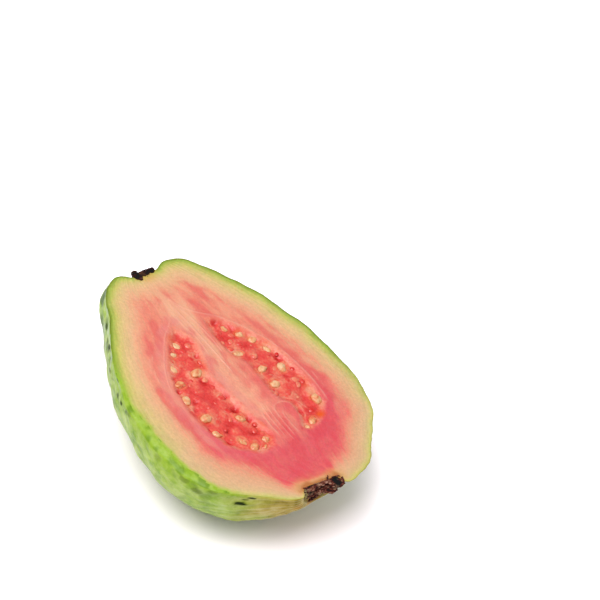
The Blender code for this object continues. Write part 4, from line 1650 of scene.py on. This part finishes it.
@dataclass
class Studio:
    """White floor, soft light and the camera. Angles are in degrees and lengths in metres."""

    rest: Rest
    azimuth: float = 42.7
    elevation: float = 46.5
    roll: float = 15.6
    lens_mm: float = 1000.0
    sensor_mm: float = 36.0
    frame_width: float = 0.171
    aim_shift: tuple[float, float] = (0.0194, 0.0232)
    far_limit: float = 20.0
    room_light: float = 0.66
    key_place: tuple[float, float, float] = (0.00, -0.50, 1.22)
    key_aim: tuple[float, float, float] = (0.0, 0.0, 0.02)
    key_size: float = 1.0
    key_watts: float = 28.5
    floor_half: float = 4.0
    floor_top: float = -0.05 * MM

    def floor(self) -> Piece:
        """Lays the floor.

        Returns:
            One square, just below the fruit.
        """
        signs = ((-1, -1), (1, -1), (1, 1), (-1, 1))
        corners = np.array([(x * self.floor_half, y * self.floor_half, self.floor_top) for x, y in signs])
        return mesh_object("floor", corners, [(0, 1, 2, 3)], (StudioFloor().make(),))

    def key_light(self) -> None:
        """Hangs a square white soft light that faces the fruit."""
        lamp = bpy.data.lights.new("key_light", "AREA")
        lamp.shape = "SQUARE"
        lamp.size = self.key_size
        lamp.energy = self.key_watts
        made = bpy.data.objects.new("key_light", lamp)
        made.location = self.key_place
        away = Vector(self.key_aim) - made.location
        made.rotation_euler = away.to_track_quat("-Z", "Y").to_euler()
        bpy.context.scene.collection.objects.link(made)

    def sides(self) -> tuple[Vector, Vector, Vector]:
        """Turns the camera by its three angles.

        Returns:
            Its right, up and back directions.
        """
        azimuth, elevation, roll = (
            math.radians(angle) for angle in (self.azimuth, self.elevation, self.roll)
        )
        right = Vector((math.cos(azimuth), math.sin(azimuth), 0.0))
        level_back = Vector((math.sin(azimuth), -math.cos(azimuth), 0.0))
        back = level_back * math.cos(elevation) + Vector((0.0, 0.0, math.sin(elevation)))
        up = back.cross(right)
        return (
            right * math.cos(roll) + up * math.sin(roll),
            up * math.cos(roll) - right * math.sin(roll),
            back,
        )

    def camera(self) -> None:
        """Sets the camera up."""
        lens = bpy.data.cameras.new("camera")
        lens.lens = self.lens_mm
        lens.sensor_width = self.sensor_mm
        lens.clip_end = self.far_limit
        right, up, back = self.sides()
        aim = self.rest.matrix.translation + right * self.aim_shift[0] + up * self.aim_shift[1]
        distance = self.frame_width * self.lens_mm / self.sensor_mm
        made = bpy.data.objects.new("camera", lens)
        turn = Matrix((right, up, back)).transposed()
        made.matrix_world = Matrix.Translation(aim + back * distance) @ turn.to_4x4()
        bpy.context.scene.collection.objects.link(made)
        bpy.context.scene.camera = made

    def build(self) -> None:
        """Builds floor, lights, world and camera."""
        self.floor()
        world = bpy.data.worlds.new("white_room")
        world.use_nodes = True
        background = world.node_tree.nodes["Background"]
        background.inputs["Color"].default_value = (1.0, 1.0, 1.0, 1.0)
        background.inputs["Strength"].default_value = self.room_light
        bpy.context.scene.world = world
        self.camera()
        self.key_light()
        bpy.context.scene.view_settings.view_transform = "Standard"


def main() -> None:
    """Builds the fruit piece by piece."""
    logging.basicConfig(level=logging.INFO, format="%(name)s: %(message)s")
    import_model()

    form = FruitForm()
    core = SeedCore()
    rest = Rest(form)
    rest.settle(*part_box("guava_half"))
    Studio(rest).build()
    filling = PulpFilling(core)
    seed_coat = WetBlob(
        name="wet_seed_coat",
        tones=((0.06, "#E25A48"), (0.24, "#E98A60"), (0.42, "#EFAC7C"), (0.62, "#F3BE90"), (0.9, "#F7CEA4")),
        foot=((0.0, "#B8321F"), (0.30, "#DB5638"), (0.6, "#EC8358"), (1.0, "#F4AC7C")),
    )
    sac_skin = WetBlob(
        name="juicy_pulp_sac", roughness=0.28,
        tones=((0.0, "#DE3C38"), (0.3, "#E74C46"), (0.55, "#ED6154"), (0.8, "#F2836A"), (1.0, "#F6A482")),
        foot=((0.0, "#CE332E"), (0.5, "#E14340"), (1.0, "#E85149")),
    )
    calyx_tissue = DryScrap(
        name="dried_calyx_tissue", bare="#B49478",
        tones=((0.06, "#1E0C08"), (0.26, "#301A12"), (0.48, "#56342A"), (0.66, "#7A4C40"), (0.9, "#B08A78")),
    )
    cork = DryScrap(
        name="stem_cork_tissue", bare="#70503F",
        tones=((0.12, "#150B0D"), (0.36, "#251516"), (0.55, "#362122"), (0.7, "#4C3330"), (0.9, "#70544C")),
    )

    body = FruitBody(form, core, rest).make(Rind().make(), Flesh().make())
    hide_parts("guava_half")
    seeds = Blobs("seeds", core.seed_size, 4, 1.1).plant(rest, filling.seed_places(), seed_coat.make())
    sacs = Blobs("pulp_sacs", (2.4, 1.9, 1.1), 3).plant(rest, filling.sac_places(), sac_skin.make())
    calyx = CalyxCrown(form, rest).make(calyx_tissue.make())
    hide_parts("dry_calyx")
    scar = StemScab(form, rest).make(cork.make())
    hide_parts("stem_scar")
    for piece, slot in (
        (body, Slot.FLESH), (seeds, Slot.SEED), (sacs, Slot.FLESH), (calyx, Slot.CALYX), (scar, Slot.CORK)
    ):
        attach(piece, "root")


if __name__ == "__main__":
    main()
